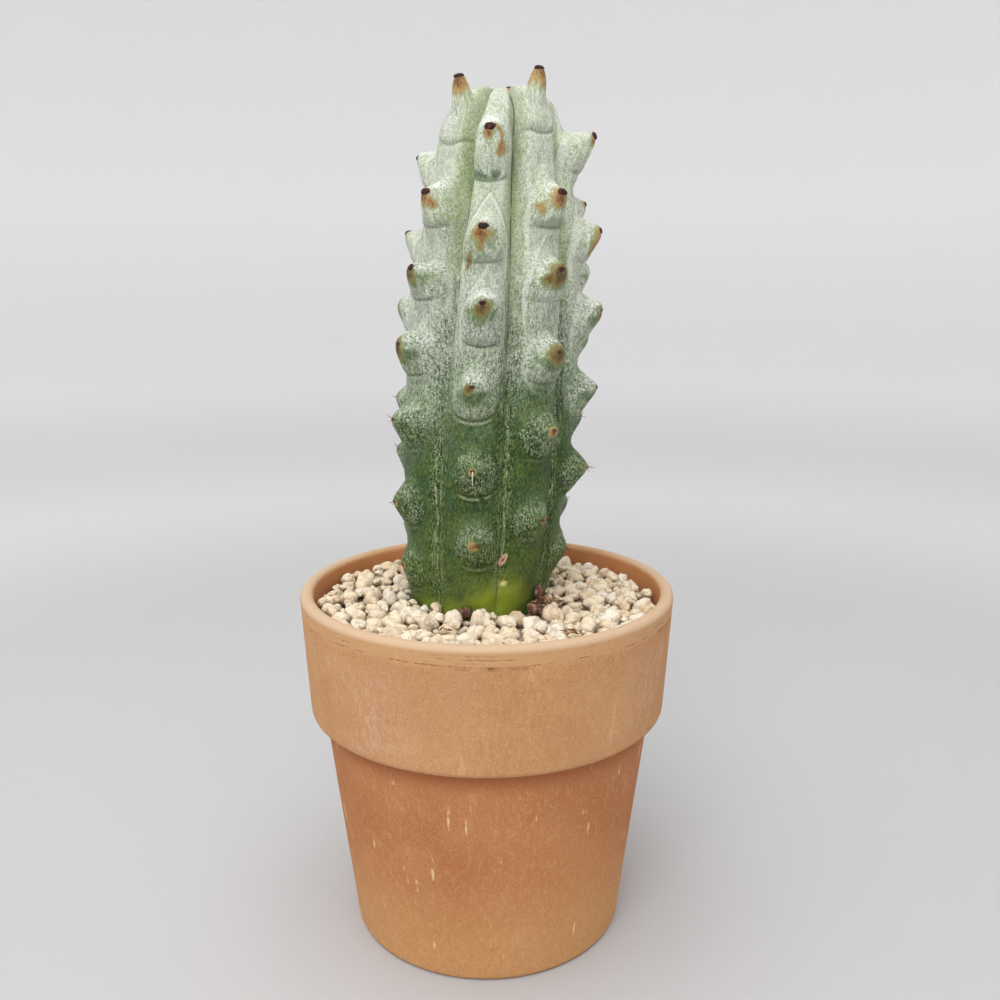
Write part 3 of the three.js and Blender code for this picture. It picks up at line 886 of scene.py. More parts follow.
def skin_grid():
    """Azimuth, place across the rib and place up the rib of each point of the skin, and the columns."""
    ribs = len(RIBS)
    end = SHOULDER_HEIGHT + CROWN_ARC
    buried = np.linspace(STEM_BOTTOM, RIBS_START - 4, 8)
    shown = np.arange(RIBS_START - 4 + ROW_STEP, end - ROW_STEP / 2, ROW_STEP)
    places = np.concatenate([buried, shown])
    across = np.tile(np.linspace(-1, 1, RIB_COLUMNS, endpoint=False), ribs)
    rib = np.repeat(np.arange(ribs), RIB_COLUMNS)
    azimuths = np.empty((len(places), len(across)))
    for column, (k, a) in enumerate(zip(rib, across)):
        here = rib_bearing(k, places)
        to_next = rib_bearing((k + int(np.sign(a))) % ribs, places) - here
        to_next = np.where(a * to_next < 0, to_next + np.sign(a) * TURN, to_next)
        azimuths[:, column] = here + abs(a) * to_next / 2
    shape = azimuths.shape
    return azimuths.ravel(), np.broadcast_to(across, shape).ravel(), np.repeat(places, shape[1]), shape


def tip_of(rib, areole):
    """The tip of a tubercle and its outward direction."""
    shift_aside, shift_up = tip_shift(rib, areole)
    place = np.array([float(areole) + shift_up])
    azimuth = rib_bearing(rib, place) + shift_aside / crest_line(place)[0]
    tip = skin_points(azimuth, np.zeros(1), place, relief=False)[0][0]
    radius, height, _ = crest_line(place)
    return tip, unit(tip - from_axis(radius, azimuth, height)[0])


# Marks on the skin, by azimuth in degrees and place: the corky scar, the pale fleck, and the yellow-green
# patches at the foot with their half-sizes and strength
SCAR = (18.4, 125.5)
SCAR_HALF = (1.05, 2.1)
SCAR_TILT = 0.35
FLECK = (20.5, 117.6)
FLECK_RADIUS = 1.0
GLOWS = [((16, 111.8), (10.5, 8.6), 0.88), ((-20, 106), (15, 6.5), 0.62)]

# Bloom: how far down it hangs on each rib, and by place the white crust and the thin milky film
BLOOM_SHIFT = (3, 11, 0, -6, 0, 2, 4, 5)
CRUST = ((130, 152, 165, 178, 192, 206, 225, 245, 272), (0.1, 0.12, 0.2, 0.3, 0.36, 0.4, 0.4, 0.46, 0.54))
FILM = ((160, 172, 182, 193, 205, 220, 250), (0.0, 0.14, 0.53, 0.77, 0.88, 0.9, 0.91))

# Furrows that stay greener: azimuth, spread and strength, and the places between which they set in
GREEN_FURROWS = [
    (math.radians(-29), math.radians(8), 0.45, (203, 222)),
    (math.radians(14), math.radians(4.5), 0.3, (166, 178)),
    (math.radians(58), math.radians(7), 0.55, (166, 180)),
]

# Rusty smears beside some tips: rib and place of the areole, two ends, each aside and up, and half-width
SMEARS = [
    (2, 248, (1.4, -0.4), (2.8, -1.6), 0.95),
    (2, 248, (2.8, -1.6), (3.0, -3.2), 0.7),
    (2, 248, (3.0, -3.6), (2.4, -4.6), 1.4),
    (2, 248, (-3.9, -1.2), (-4.2, -3.4), 0.9),
    (2, 221, (0.9, -2.6), (0.4, -4.0), 1.5),
    (2, 221, (-3.0, -5.0), (-3.4, -7.0), 1.3),
    (3, 231, (-3.6, -1.4), (-2.6, -3.0), 2.0),
    (3, 209.5, (-2.8, -1.2), (-2.4, -2.0), 2.2),
    (1, 231, (2.4, -1.4), (2.9, -2.2), 1.8),
    (4, 221, (-1.5, -2.0), (-1.5, -4.0), 2.0),
    (4, 198, (-1.0, -0.6), (-1.0, -2.0), 2.4),
    (0, 199, (1.0, -0.6), (1.0, -2.0), 2.2),
]


def mark_distance(azimuth, place, mark):
    """Distances round and up from a mark, in millimetres."""
    turned = wrapped(azimuth - math.radians(mark[0]))
    return turned * crest_line(np.array([float(mark[1])]))[0][0], place - mark[1]


def skin_fields(points, azimuth, across, place, marks):
    """What the skin's material needs at each point."""
    flat = flat_points(azimuth, place)
    base_radius = crest_line(place)[0]
    gaps, stain = np.full(len(points), 12.0), np.full(len(points), 4.0)
    below, age = np.zeros(len(points)), np.zeros(len(points))
    random = np.random.default_rng(7)
    for rib, areole in tubercles():
        tip, out = tip_of(rib, areole)
        gap = np.linalg.norm(points - tip, axis=1)
        nearer = gap < gaps
        gaps[nearer] = gap[nearer]
        below[nearer] = tip[2] - points[nearer, 2]
        age[nearer] = areole
        side = np.array([-out[1], out[0], 0]) / math.hypot(out[0], out[1])
        centre = tip + side * random.normal(0, 0.6) - (0, 0, size_at(STAIN_DROP, areole))
        size = size_at(STAIN_SIZE, areole) * random.uniform(0.8, 1.2)
        stain = np.minimum(stain, np.linalg.norm(points - centre, axis=1) / size)
    for rib, areole, start, end, size in SMEARS:
        near = np.flatnonzero(np.abs(place - areole) < 16)
        aside = aside_of(rib, azimuth[near], place[near], base_radius[near])
        spot = np.stack([aside, place[near] - areole], axis=1) - start
        along = np.subtract(end, start)
        share = np.clip(spot @ along / (along @ along), 0, 1)
        off = np.linalg.norm(spot - share[:, None] * along, axis=1)
        stain[near] = np.minimum(stain[near], 0.35 + off / size)

    c = np.abs(across)
    shifted = place + np.interp(np.mod(np.degrees(azimuth), 360), *rib_shifts())
    shifted = shifted + 9 * cloud(flat * (1, 1, 0.5), 11, 21)
    shifted = shifted + 13 * marks["lobe"] * smooth(age, 168, 174) * falling(age, 205, 225)
    high = smooth(shifted, 165, 205)
    flank = smooth(c, 0.5, 0.8)
    crust = np.interp(shifted, *CRUST) + 0.1 * flank * high * falling(place, 205, 225)
    crust += high * 0.15 * cloud(flat * (1, 1, 0.4), 4, 31)
    crust += high * 0.07 * bell(c - 0.52, 0.1) * falling(place, 215, 235)
    beneath = smooth(below, 0.3, 2.5) * falling(gaps, 6, 9) * marks["lobe"]
    middle = smooth(age, 166, 174) * falling(age, 212, 235)
    clear = middle * marks["lobe"] * smooth(below, 0.6, 2.2) * falling(gaps, 5.0, 7.4)
    crust -= high * beneath * 0.28 + 0.3 * clear
    crust += high * 0.2 * smooth(-below, 0.2, 2) * falling(gaps, 4, 8)
    dome = marks["lobe"] * falling(age, 165, 190) * smooth(gaps, 1.0, 2.5)
    crust = np.maximum(crust, dome * (0.36 + 0.2 * cloud(flat, 4, 33)))
    beside = bell(marks["furrow_gap"] - 2.2, 1.6) * smooth(place, 122, 150) * (1 - high)
    crust = np.maximum(crust, beside * (0.24 + 0.3 * cloud(flat, 6, 35)))
    haze = (1 - high) * smooth(place, 118, 130) * bell(gaps, 6.5) * smooth(gaps, 0.6, 2)
    haze *= 0.12 + 0.26 * smooth(-below, -1, 4) + 0.3 * cloud(flat, 5, 37)
    thinned = np.zeros(len(points))
    for at, spread, share, (low, high_up) in GREEN_FURROWS:
        turned = wrapped(azimuth - at)
        thinned += share * bell(turned, spread) * smooth(place, low, high_up)
    crust *= 1 - 0.7 * thinned
    film = np.interp(shifted, *FILM) * (1 - 0.1 * flank + 0.1 * marks["lobe"] - thinned)
    film *= 1 - 0.75 * clear

    across_scar, up_scar = mark_distance(azimuth, place, SCAR)
    leaning = across_scar - SCAR_TILT * up_scar
    glow = np.zeros(len(points))
    for spot, (half_across, half_up), strength in GLOWS:
        aside, up = mark_distance(azimuth, place, spot)
        glow_gap = np.hypot(aside / half_across, up / half_up) + 0.3 * cloud(flat, 6, 41)
        glow = np.maximum(glow, strength * falling(glow_gap, 0.25, 1.3))
    fields = {
        "flat": flat,
        "crust": np.clip(crust, 0, 1),
        "film": film + np.clip(haze, 0, 1),
        "bloomed": high,
        "dome": dome,
        "lobe": marks["lobe"],
        "tip_gap": gaps,
        "stain": stain,
        "lush": 0.6 * smooth(place, 190, 230) * flank,
        "scar_gap": np.clip(np.hypot(leaning / SCAR_HALF[0], up_scar / SCAR_HALF[1]), 0, 4),
        "fleck_gap": np.clip(np.hypot(*mark_distance(azimuth, place, FLECK)) / FLECK_RADIUS, 0, 4),
        "glow": glow,
    }
    for name in ("furrow_gap", "lobe_gap", "lobe_on", "crease_gap", "crease_on", "band", "lip"):
        fields[name] = marks[name]
    return fields


def rib_shifts():
    """Azimuths from 0 to 360 degrees and how far down the bloom hangs there."""
    bearings = np.mod([bearing[1] for bearing, _ in RIBS], 360)
    order = np.argsort(bearings)
    bearings, shifts = bearings[order], np.array(BLOOM_SHIFT, float)[order]
    around = np.concatenate([[bearings[-1] - 360], bearings, [bearings[0] + 360]])
    return around, np.concatenate([[shifts[-1]], shifts, [shifts[0]]])


def make_skin(material):
    azimuth, across, place, (rows, columns) = skin_grid()
    points, marks = skin_points(azimuth, across, place)
    fields = skin_fields(points, azimuth, across, place, marks)
    count = len(points)
    bottom = from_axis(0, 0, np.array(float(STEM_BOTTOM - BASE_ROUND)))
    summit = points[-columns:].mean(axis=0)
    points = np.vstack([points, bottom, summit])
    for name, values in fields.items():
        ends = np.stack([values[0], values[-columns:].mean(axis=0)])
        fields[name] = np.concatenate([values, ends])
    first, last = np.arange(columns), np.arange(count - columns, count)
    caps = np.vstack([cap_faces(first, count, True), cap_faces(last, count + 1, False)])
    faces = [tube_faces(rows, columns), caps]
    stem = mesh_piece("cactus_skin", points, faces, material, fields)
    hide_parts("cactus_stem")
    return stem


def ball(segments):
    """Directions and quads of a ball made of a cube's six gridded faces."""
    line = np.tan(np.linspace(-1, 1, segments + 1) * math.pi / 4)
    u, v = (grid.ravel() for grid in np.meshgrid(line, line, indexing="ij"))
    sides = []
    for axis in range(3):
        for sign in (1, -1):
            side = np.empty((len(u), 3))
            side[:, axis] = sign
            side[:, (axis + 1) % 3] = u * sign
            side[:, (axis + 2) % 3] = v
            sides.append(side)
    row, column = (grid.ravel() for grid in np.meshgrid(range(segments), range(segments), indexing="ij"))
    start = row * (segments + 1) + column
    quad = np.stack([start, start + segments + 1, start + segments + 2, start + 1], axis=1)
    points = np.vstack(sides)
    quads = np.vstack([quad + i * (segments + 1) ** 2 for i in range(6)])
    _, first, merged = np.unique(np.round(points, 6), axis=0, return_index=True, return_inverse=True)
    points = points[first]
    return points / np.linalg.norm(points, axis=1)[:, None], merged.ravel()[quads]


def turn_matrix(random):
    """A random rotation."""
    axes, _ = np.linalg.qr(random.normal(size=(3, 3)))
    return axes * np.sign(np.linalg.det(axes))


def pebble(directions, random):
    """Points of a nubbly pebble of radius 1: a ball with rounded knobs and sharp clefts, and its clefts."""
    normals = random.normal(size=(PEBBLE_FACES, 3))
    normals /= np.linalg.norm(normals, axis=1)[:, None]
    reach = random.uniform(*FACE_REACH, PEBBLE_FACES)
    facing = np.clip(directions @ normals.T, 0, None) / reach
    radius = np.clip((facing**12).sum(axis=1) ** (-1 / 12), 0.65, 1.15)
    offset = 50 * random.random(3)
    knobs = np.abs(lattice_noise(directions + offset, 1.05, 61))
    knots = np.abs(lattice_noise(directions + offset, 0.5, 63))
    radius *= 0.8 + 0.55 * knobs**0.8 + 0.16 * knots
    points = directions * radius[:, None]
    return points / np.abs(points).max(axis=0), falling(knobs, 0.0, 0.16)


def bore_radius(height):
    """Radius of the pot's inside at a height in the collar."""
    slope_top = POT_HEIGHT - COLLAR_HEIGHT + 3 * COLLAR_ROUND
    up = (height - slope_top) / (POT_HEIGHT - slope_top)
    return RIM_RADIUS - RIM_WALL - COLLAR_BORE_TAPER * (1 - up)


def stem_radius(azimuth, height):
    """Radius of the stem near the gravel, by azimuth."""
    places = np.full(np.shape(azimuth), float(height))
    bearings = np.stack([rib_bearing(rib, places) for rib in range(len(RIBS))])
    away = np.abs(wrapped(azimuth - bearings)).min(axis=0)
    across = np.clip(away / (TURN / 2 / len(RIBS)), 0, 1)
    radius = crest_line(places)[0]
    return radius * (1 - size_at(FURROW_DEPTH, height) * across**FURROW_SHARPNESS)


def gravel_level(x, y):
    """Level of the gravel's top, a little higher near the stem and banked up against the pot's wall."""
    from_stem = np.hypot(x - STEM_FOOT[0], y - STEM_FOOT[1])
    mound = GRAVEL_MOUND * falling(from_stem, FOOT_RADIUS, RIM_RADIUS - 12)
    bank = GRAVEL_BANK * smooth(np.hypot(x, y), 32, 52) * (1 - 0.5 * smooth(y, 5, 45))
    return GRAVEL_LEVEL + mound + bank


def drop_stones(random, bits):
    """Centres and radii of stones dropped one by one, each where it comes to lie lowest."""
    centres = [np.array([x, y, z]) for x, y, z, _ in bits]
    radii = [radius for *_, radius in bits]
    stones = []
    for _ in range(MOST_STONES * 3):
        radius = random.uniform(*(STONE_RADII if random.random() < LARGE_SHARE else SMALL_RADII))
        angle = random.uniform(0, TURN, STONE_TRIES)
        out = np.sqrt(random.uniform(0.12, 1, STONE_TRIES)) * (bore_radius(STONE_LEVEL) - radius - WALL_GAP)
        x, y = out * np.cos(angle), out * np.sin(angle)
        dx, dy = x - STEM_FOOT[0], y - STEM_FOOT[1]
        clear = stem_radius(np.arctan2(dx, -dy), STEM_FOOT[2]) + 0.8 * radius + WALL_GAP
        free = np.hypot(dx, dy) > clear
        x, y = x[free], y[free]
        if not len(x):
            continue
        rest = np.full(len(x), GRAVEL_BED + 0.6 * radius)
        if centres:
            placed, sizes = np.array(centres), np.array(radii)
            reach = PACKING * (sizes + radius)
            apart = (x[:, None] - placed[:, 0]) ** 2 + (y[:, None] - placed[:, 1]) ** 2
            over = placed[:, 2] + np.sqrt(np.clip(reach**2 - apart, 0, None))
            rest = np.maximum(rest, np.where(apart < reach**2, over, 0).max(axis=1))
        space = gravel_level(x, y) - rest - 0.45 * radius
        best = space.argmax()
        if space[best] < 0:
            continue
        centres.append(np.array([x[best], y[best], rest[best]]))
        radii.append(radius)
        stones.append((x[best], y[best], rest[best], radius))
        if len(stones) == MOST_STONES:
            break
    return stones


def bed_ring():
    """Points and faces of the closed ring of fine gravel under the stones."""
    columns = 120
    azimuth = np.linspace(0, TURN, columns, endpoint=False)
    inner = stem_radius(azimuth, 102) + 0.4
    dx, dy = np.sin(azimuth), -np.cos(azimuth)
    centre = np.array(STEM_FOOT[:2])
    along = centre[0] * dx + centre[1] * dy
    wall = bore_radius(GRAVEL_FOOT) - 0.3
    outer = -along + np.sqrt(along**2 - centre @ centre + wall**2)
    rings = []
    for share, height in [(0, GRAVEL_FOOT), (1, GRAVEL_FOOT), (1, GRAVEL_BED)] + [
        (share, GRAVEL_BED) for share in np.linspace(0.95, 0, 12)
    ]:
        radius = inner + (outer - inner) * share
        x, y = centre[0] + radius * dx, centre[1] + radius * dy
        rings.append(np.stack([x, y, np.full(columns, height)], axis=1))
    points = np.vstack(rings)
    upper = points[:, 2] > GRAVEL_FOOT + 1
    points[:, 2] += upper * 0.8 * cloud(points, 3, 51)
    closing = tube_faces(2, columns)
    closing = np.where(closing < columns, closing + (len(rings) - 1) * columns, closing - columns)
    return points, [tube_faces(len(rings), columns), closing]


def make_gravel(material, bits):
    """The stones on their bed; the uppermost ones have a finer mesh."""
    random = np.random.default_rng(11)
    bed_points, bed_faces = bed_ring()
    points, faces, count = [bed_points], list(bed_faces), len(bed_points)
    # The bed under the stones is darkened all over with painted shade
    looks = {"tone": [np.full(count, 0.1)], "deep": [np.full(count, 0.6)], "crevice_shade": [np.zeros(count)]}
    stones = sorted(drop_stones(random, bits), key=lambda stone: gravel_level(*stone[:2]) - stone[2])
    balls = ball(FINE_SEGMENTS), ball(COARSE_SEGMENTS)
    for number, (x, y, z, radius) in enumerate(stones):
        directions, quads = balls[number >= FINE_STONES]
        shape, cleft = pebble(directions, random)
        shape *= (1, random.uniform(0.7, 0.95), random.uniform(0.65, 0.9))
        stone = shape @ turn_matrix(random) * (1, 1, random.uniform(0.8, 1.0)) * radius * STONE_SWELL
        out = np.hypot(x, y)
        most = np.hypot(stone[:, 0] + x, stone[:, 1] + y).max()
        limit = bore_radius(STONE_LEVEL) - WALL_GAP
        if most > limit:
            x, y = x * (1 - (most - limit) / out), y * (1 - (most - limit) / out)
        points.append(stone + (x, y, z))
        faces.append(quads + count)
        count += len(stone)
        looks["tone"].append(np.full(len(stone), random.random()))
        # Painted shade: darker the deeper a point lies below the gravel's top, and on each stone's underside
        depth = gravel_level(x, y) - stone[:, 2] - z
        under = smooth(-stone[:, 2] / radius, -0.1, 0.75)
        looks["deep"].append(np.maximum(0.9 * smooth(depth, 1.8, 4.8), 0.2 * under))
        # Painted shade in each pebble's clefts
        looks["crevice_shade"].append(0.45 * cleft)
    fields = {name: np.concatenate(values) for name, values in looks.items()}
    gravel = mesh_piece("gravel_stones", np.vstack(points), faces, material, fields)
    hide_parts("gravel_top_dressing")
    return gravel


def corner(radius, height, size, start, end, steps=9):
    """Points of a rounded corner about a centre, between two angles in degrees."""
    angles = np.radians(np.linspace(start, end, steps))
    return [(radius + size * math.cos(a), height + size * math.sin(a)) for a in angles]


def filled_in(profile, step):
    """The profile with points added wherever two lie further apart than step, without its last point."""
    points = []
    for start, end in zip(profile, profile[1:]):
        count = max(1, math.ceil(math.dist(start, end) / step))
        for i in range(count):
            share = i / count
            points.append([a + (b - a) * share for a, b in zip(start, end)])
    return np.array(points)


def pot_profile():
    """The pot's closed outline and, for each of its points, whether it is on the outside."""
    rim_foot = POT_HEIGHT - RIM_ROUND
    collar_foot = POT_HEIGHT - COLLAR_HEIGHT
    slope_top = collar_foot + 3 * COLLAR_ROUND
    bore_top = RIM_RADIUS - RIM_WALL
    slope = (RIM_RADIUS - COLLAR_FOOT_RADIUS) / (rim_foot - collar_foot - COLLAR_ROUND)
    band_foot = (RIM_RADIUS - slope * (BAND_HEIGHT - RIM_ROUND), POT_HEIGHT - BAND_HEIGHT)
    seen_foot = (bore_radius(GRAVEL_FOOT), GRAVEL_FOOT)
    outside = filled_in(
        [
            (DRAIN_RADIUS, 0),
            *corner(BASE_RADIUS - BASE_ROUND, BASE_ROUND, BASE_ROUND, -90, 0),
            (BODY_TOP_RADIUS, collar_foot - LEDGE_DROP),
            (BODY_TOP_RADIUS + LEDGE_ROUND, collar_foot),
            *corner(COLLAR_FOOT_RADIUS - COLLAR_ROUND, collar_foot + COLLAR_ROUND, COLLAR_ROUND, -90, 0),
            band_foot,
        ],
        POT_STEP,
    )
    band = filled_in([band_foot, *corner(RIM_RADIUS - RIM_ROUND, rim_foot, RIM_ROUND, 0, 90)], BAND_STEP)
    seen = filled_in([*corner(bore_top + RIM_ROUND, rim_foot, RIM_ROUND, 90, 180), seen_foot], POT_STEP)
    buried = filled_in(
        [
            seen_foot,
            (bore_top - COLLAR_BORE_TAPER, slope_top),
            (BODY_TOP_RADIUS - BODY_WALL, collar_foot - LEDGE_DROP),
            (BASE_RADIUS - BODY_WALL, FLOOR),
            (DRAIN_RADIUS, FLOOR),
            (DRAIN_RADIUS, 0),
        ],
        BURIED_STEP,
    )
    outer = np.repeat([True, False], [len(outside) + len(band), len(seen) + len(buried)])
    return np.vstack([outside, band, seen, buried]), outer


def make_pot(material):
    profile, outer = pot_profile()
    rows = len(profile)
    angles = np.linspace(0, TURN, POT_COLUMNS, endpoint=False)
    radius = np.repeat(profile[:, 0], POT_COLUMNS)
    height = np.repeat(profile[:, 1], POT_COLUMNS)
    outer = np.repeat(outer, POT_COLUMNS)
    angle = np.tile(angles, rows)
    ways = np.stack([np.cos(angle), np.sin(angle), np.zeros(len(angle))], axis=1)
    points = ways * radius[:, None]
    points[:, 2] = height
    trim = np.zeros(len(points))
    for number, (drop, strength) in enumerate(TRIM_LINES):
        line = POT_HEIGHT - drop + 0.3 * lattice_noise(ways * 9, 3, 71 + number)
        line += 0.25 * lattice_noise(ways * 55, 4, 72 + number)
        mark = bell(height - line, TRIM_WIDTH)
        gaps = cloud(ways * 55 + number, 4, 75 + number, 2)
        broken = smooth(gaps, 0.4 - 0.6 * strength, 0.5 - 0.3 * strength)
        trim = np.maximum(trim, mark * broken * outer * strength)
    wear = BROAD_WEAR * cloud(points, 6, 73) + FINE_WEAR * cloud(points, 1.6, 74, 2)
    above_base = smooth(height, 0.3, 3)
    shift = -SET_IN + above_base * (np.clip(wear, -MOST_WEAR, SET_IN) - TRIM_DEPTH * trim)
    points += ways * (shift * np.where(outer, 1, -1))[:, None]
    salted = sum(
        amount * bell(wrapped(angle - at), spread)
        for at, spread, amount in SALT_STAINS
    )
    patches = smooth(cloud(points * (1, 1, 0.6), 14, 77), -0.25, 0.5)
    collar_foot = POT_HEIGHT - COLLAR_HEIGHT
    on_collar = smooth(height, collar_foot, collar_foot + 6) * falling(height, 100, 108)
    fields = {
        "rim": smooth(height, POT_HEIGHT - np.where(outer, 2.1, 1.2), POT_HEIGHT - np.where(outer, 0.9, 0.2))
        * (1 - 0.7 * smooth(points[:, 1], 25, 50)),
        "band": 0.6 * outer * smooth(height, POT_HEIGHT - BAND_HEIGHT - 0.3, POT_HEIGHT - BAND_HEIGHT + 0.5),
        "trim": trim,
        "salt": outer * patches * (0.12 + salted * on_collar),
        "inside": ~outer * falling(height, POT_HEIGHT - 1.6, POT_HEIGHT - 0.5),
        # Painted shadow on the body just under the collar's overhang
        "collar_shadow": outer * smooth(height, collar_foot - 9, collar_foot - 1) * (height < collar_foot + 0.4),
    }
    faces = [tube_faces(rows, POT_COLUMNS)]
    last = tube_faces(2, POT_COLUMNS) + (rows - 1) * POT_COLUMNS
    faces.append(np.where(last >= rows * POT_COLUMNS, last - rows * POT_COLUMNS, last))
    pot = mesh_piece("clay_pot", points, faces, material, fields)
    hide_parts("pot")
    return pot


# Dried bits of bark, as in the CAD model: centre, half-sizes and turn
DRIED_BITS = {
    "dried_bit_front": ((-6.9, -16.1, 109.0), (2.2, 1.7, 1.8), 12),
    "dried_bit_right": ((15.4, -13.6, 109.2), (3.0, 2.2, 2.0), -20),
    "dried_bit_side": ((16.7, -4.6, 111.6), (1.9, 1.0, 3.1), 57),
}
BIT_SEGMENTS = 26


def make_bits(material):
    """The dried bits, each a knot of curled bark with deep folds."""
    directions, quads = ball(BIT_SEGMENTS)
    pieces = []
    for number, (node, (centre, half, turn)) in enumerate(DRIED_BITS.items()):
        folds = np.abs(cloud(directions * (1, 1, 0.6), 0.9, 81 + number, 3))
        fine = cloud(directions, 0.3, 91 + number, 3)
        radius = 0.84 + 0.5 * np.clip(folds, 0, 0.5) + 0.16 * fine
        shape = directions * np.clip(radius, 0.5, 1.1)[:, None] * half
        angle = math.radians(turn)
        turned = shape @ np.array(
            [[math.cos(angle), math.sin(angle), 0], [-math.sin(angle), math.cos(angle), 0], [0, 0, 1]]
        )
        piece = mesh_piece(f"{node}_bark", turned + centre, [quads], material)
        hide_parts(node)
        pieces.append(piece)
    return pieces


def make_areoles(material):
    """The felt on every tubercle's tip."""
    random = np.random.default_rng(5)
    directions, quads = ball(8)
    parts = []
    for rib, areole in tubercles():
        tip, out = tip_of(rib, areole)
        size = size_at(AREOLE_RADIUS, areole)
        side = unit(np.cross(out, (0, 0, 1)))
        up = np.cross(side, out)
        bumps = 1 + 0.2 * cloud(directions + 9 * random.random(3), 0.6, 101, 2)
        shape = directions * bumps[:, None] * size * (1.15, 0.78, 0.6)
        felt = shape[:, :1] * side + shape[:, 1:2] * up + shape[:, 2:] * out
        ages = np.full(len(felt), float(falling(areole, 160, 176)))
        parts.append((tip + up * 0.2 * size + out * 0.1 * size + felt, [quads], ages))
    points, faces, ages = joined(parts)
    return mesh_piece("areole_felt", points, faces, material, {"age": ages})


def rod(path, radii, sides=6):
    """Points, faces and shares along of a closed round rod that follows a path."""
    path = np.asarray(path, float)
    along = np.gradient(path, axis=0)
    along /= np.linalg.norm(along, axis=1)[:, None]
    helper = np.array([0.3, 0.5, 0.81])
    side = np.cross(along, helper)
    side /= np.linalg.norm(side, axis=1)[:, None]
    up = np.cross(along, side)
    angles = np.linspace(0, TURN, sides, endpoint=False)
    rings = [
        p + r * (np.cos(angles)[:, None] * s - np.sin(angles)[:, None] * u)
        for p, r, s, u in zip(path, radii, side, up)
    ]
    count = len(path) * sides
    points = np.vstack(rings + [path[:1], path[-1:]])
    ring = np.arange(sides)
    caps = np.vstack([cap_faces(ring, count, False), cap_faces(ring + count - sides, count + 1, True)])
    shares = np.concatenate([np.repeat(np.linspace(0, 1, len(path)), sides), [0, 1]])
    return points, [tube_faces(len(path), sides)[:, ::-1], caps], shares


def joined(parts):
    """One list of points, faces and shares from several."""
    points, faces, shares, count = [], [], [], 0
    for part_points, part_faces, part_shares in parts:
        points.append(part_points)
        faces += [group + count for group in part_faces]
        shares.append(part_shares)
        count += len(part_points)
    return np.vstack(points), faces, np.concatenate(shares)


# Short spines: how many on an areole, shortest and longest, radius at the root; and the one that hangs
SPINES_EACH = (4, 8)
SPINE_LENGTHS = (1.2, 3.2)
SPINE_RADIUS = 0.15
HANGING_LENGTH = 4.1
HANGING_RADIUS = 0.22


def make_spines(material):
    """Short spines on the older areoles, a few on each."""
    random = np.random.default_rng(23)
    parts = []
    for rib, areole in tubercles():
        if areole > OLDEST_SPINELESS:
            continue
        tip, out = tip_of(rib, areole)
        for _ in range(random.integers(*SPINES_EACH)):
            way = unit(out + (random.normal(0, 0.55, 3) - (0, 0, 0.15)))
            length = random.uniform(*SPINE_LENGTHS)
            bend = random.normal(0, 0.12, 3)
            steps = np.linspace(0, 1, 6)
            path = [tip - out * 0.4 + way * length * t + bend * length * t * t for t in steps]
            parts.append(rod(path, SPINE_RADIUS * (1 - 0.75 * steps)))
    tip, out = tip_of(*HANGING_SPINE)
    steps = np.linspace(0, 1, 7)
    path = [tip + out * (0.3 + 0.5 * math.sin(2.6 * t)) - (0, 0, HANGING_LENGTH * t) for t in steps]
    usual = sum(len(part[0]) for part in parts)
    parts.append(rod(path, HANGING_RADIUS * (1 - 0.6 * steps)))
    points, faces, shares = joined(parts)
    fields = {"along": shares, "pale": np.arange(len(points)) >= usual}
    return mesh_piece("short_spines", points, faces, material, fields)


# Dry fibres beside the stem: middle of each tuft, its spread, number of fibres and their longest length
TUFTS = [
    ((19.5, -7.5, 110.4), (3.2, 4.2, 0.7), 26, 6.5),
    ((16.0, -11.5, 110.2), (2.6, 1.6, 0.6), 12, 5.0),
    ((24.5, -38.0, 110.6), (2.2, 1.6, 0.4), 12, 6.0),
    ((-12.0, -33.0, 109.8), (1.8, 1.2, 0.3), 5, 3.5),
]
FIBRE_RADII = (0.1, 0.34)


def make_fibres(material):
    """Dry brown fibres that lie on the gravel."""
    random = np.random.default_rng(31)
    parts = []
    for middle, spread, count, longest in TUFTS:
        for _ in range(count):
            start = middle + random.uniform(-1, 1, 3) * spread
            way = unit(random.normal(0, 1, 3) * (1, 1, 0.22))
            length = random.uniform(0.35, 1) * longest
            bend = random.normal(0, 0.3, 3) * (1, 1, 0.5)
            steps = np.linspace(0, 1, 8)
            path = [start + (way * (t - 0.5) + bend * ((t - 0.5) ** 2 - 0.1)) * length for t in steps]
            radius = random.uniform(*FIBRE_RADII)
            parts.append(rod(path, radius * np.sin(0.25 + 2.5 * steps)))
    points, faces, shares = joined(parts)
    return mesh_piece("dry_fibres", points, faces, material, {"along": shares})


def make_floor(material):
    """A wide floor that curves up all round, far from the plant."""
    bend = np.linspace(0.08, TURN / 4, 20)
    profile = [(0.02, 0), (0.4, 0), (FLOOR_FLAT, 0)]
    profile += [(FLOOR_FLAT + FLOOR_BEND * math.sin(a), FLOOR_BEND * (1 - math.cos(a))) for a in bend]
    profile.append((FLOOR_FLAT + FLOOR_BEND, 2 * FLOOR_BEND))
    columns = 64
    angles = np.linspace(0, TURN, columns, endpoint=False)
    ways = np.stack([np.cos(angles), np.sin(angles), np.zeros(columns)], axis=1)
    rings = [r * ways + (0, 0, z) for r, z in profile]
    points = np.vstack(rings + [np.zeros((1, 3))]) / MM
    inner = cap_faces(np.arange(columns), len(points) - 1, False)
    floor = mesh_piece("floor", points, [tube_faces(len(rings), columns)[:, ::-1], inner], material)


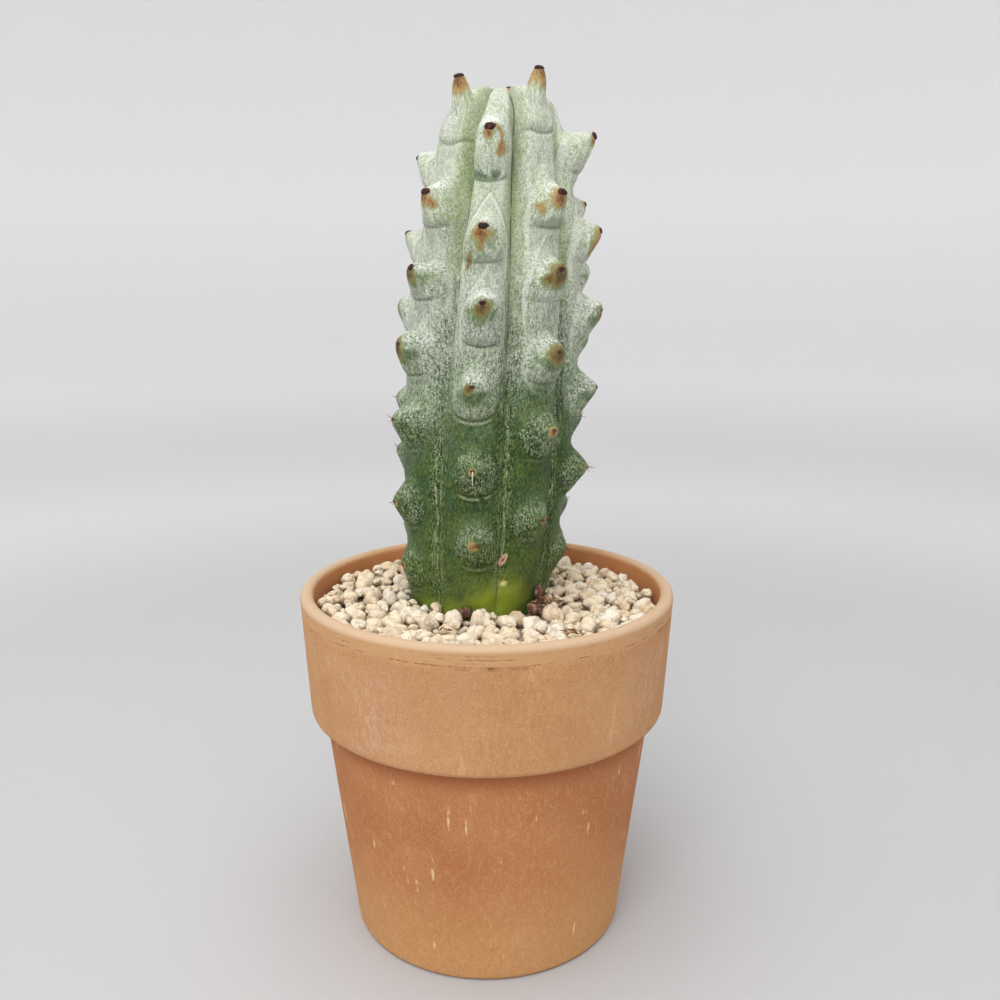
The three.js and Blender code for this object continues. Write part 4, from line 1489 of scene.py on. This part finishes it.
# Lights: place, what they point at and size in metres, and power in watts; and how strong the light
# from all round is
LIGHTS = {
    "overhead": ((-0.15, -0.25, 1.2), (0, 0, 0.1), 1.3, 9),
    "front": ((-0.35, -1.1, 1.15), (0, 0, 0.12), 0.8, 6.5),
}
SOFT_LIGHT = 0.69


def add_area_light(name, at, target, size, power):
    light = bpy.data.lights.new(name, "AREA")
    light.shape = "DISK"
    light.size = size
    light.energy = power
    lamp = bpy.data.objects.new(name, light)
    bpy.context.scene.collection.objects.link(lamp)
    lamp.location = at
    way = Vector(target) - Vector(at)
    lamp.rotation_euler = way.to_track_quat("-Z", "Y").to_euler()


def set_light():
    world = bpy.data.worlds.new("soft_light")
    world.use_nodes = True
    background = world.node_tree.nodes["Background"]
    background.inputs["Color"].default_value = rgb(255, 254, 253)
    background.inputs["Strength"].default_value = SOFT_LIGHT
    bpy.context.scene.world = world
    for name, light in LIGHTS.items():
        add_area_light(name, *light)
    bpy.context.scene.view_settings.view_transform = "Standard"


def set_camera():
    data = bpy.data.cameras.new("camera")
    data.lens = LENS
    data.sensor_width = SENSOR
    camera = bpy.data.objects.new("camera", data)
    bpy.context.scene.collection.objects.link(camera)
    camera.location = [value * MM for value in CAMERA_AT]
    camera.rotation_euler = (math.radians(90 - CAMERA_PITCH), 0, 0)
    bpy.context.scene.camera = camera


def paint(node, material):
    """Gives a CAD node that stays in the scene its material."""
    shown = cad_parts[node]
    shown.data.materials.clear()
    shown.data.materials.append(material)


def main():
    bits = [(*centre, 0.9 * min(half)) for centre, half, _ in DRIED_BITS.values()]
    pieces = [
        (make_pot(clay_material()), "fired_clay"),
        (make_gravel(stone_material(), bits), "gravel"),
        (make_skin(skin_material()), "cactus_skin"),
        (make_areoles(felt_material()), "cactus_skin"),
        (make_spines(spine_material()), "cactus_skin"),
        (make_fibres(straw_material()), "dried_bark"),
    ]
    pieces += [(bit, "dried_bark") for bit in make_bits(bark_material())]
    for piece, slot in pieces:
        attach(piece, "root")
    paint("potting_soil", soil_material())
    make_floor(floor_material())
    set_light()
    set_camera()


main()
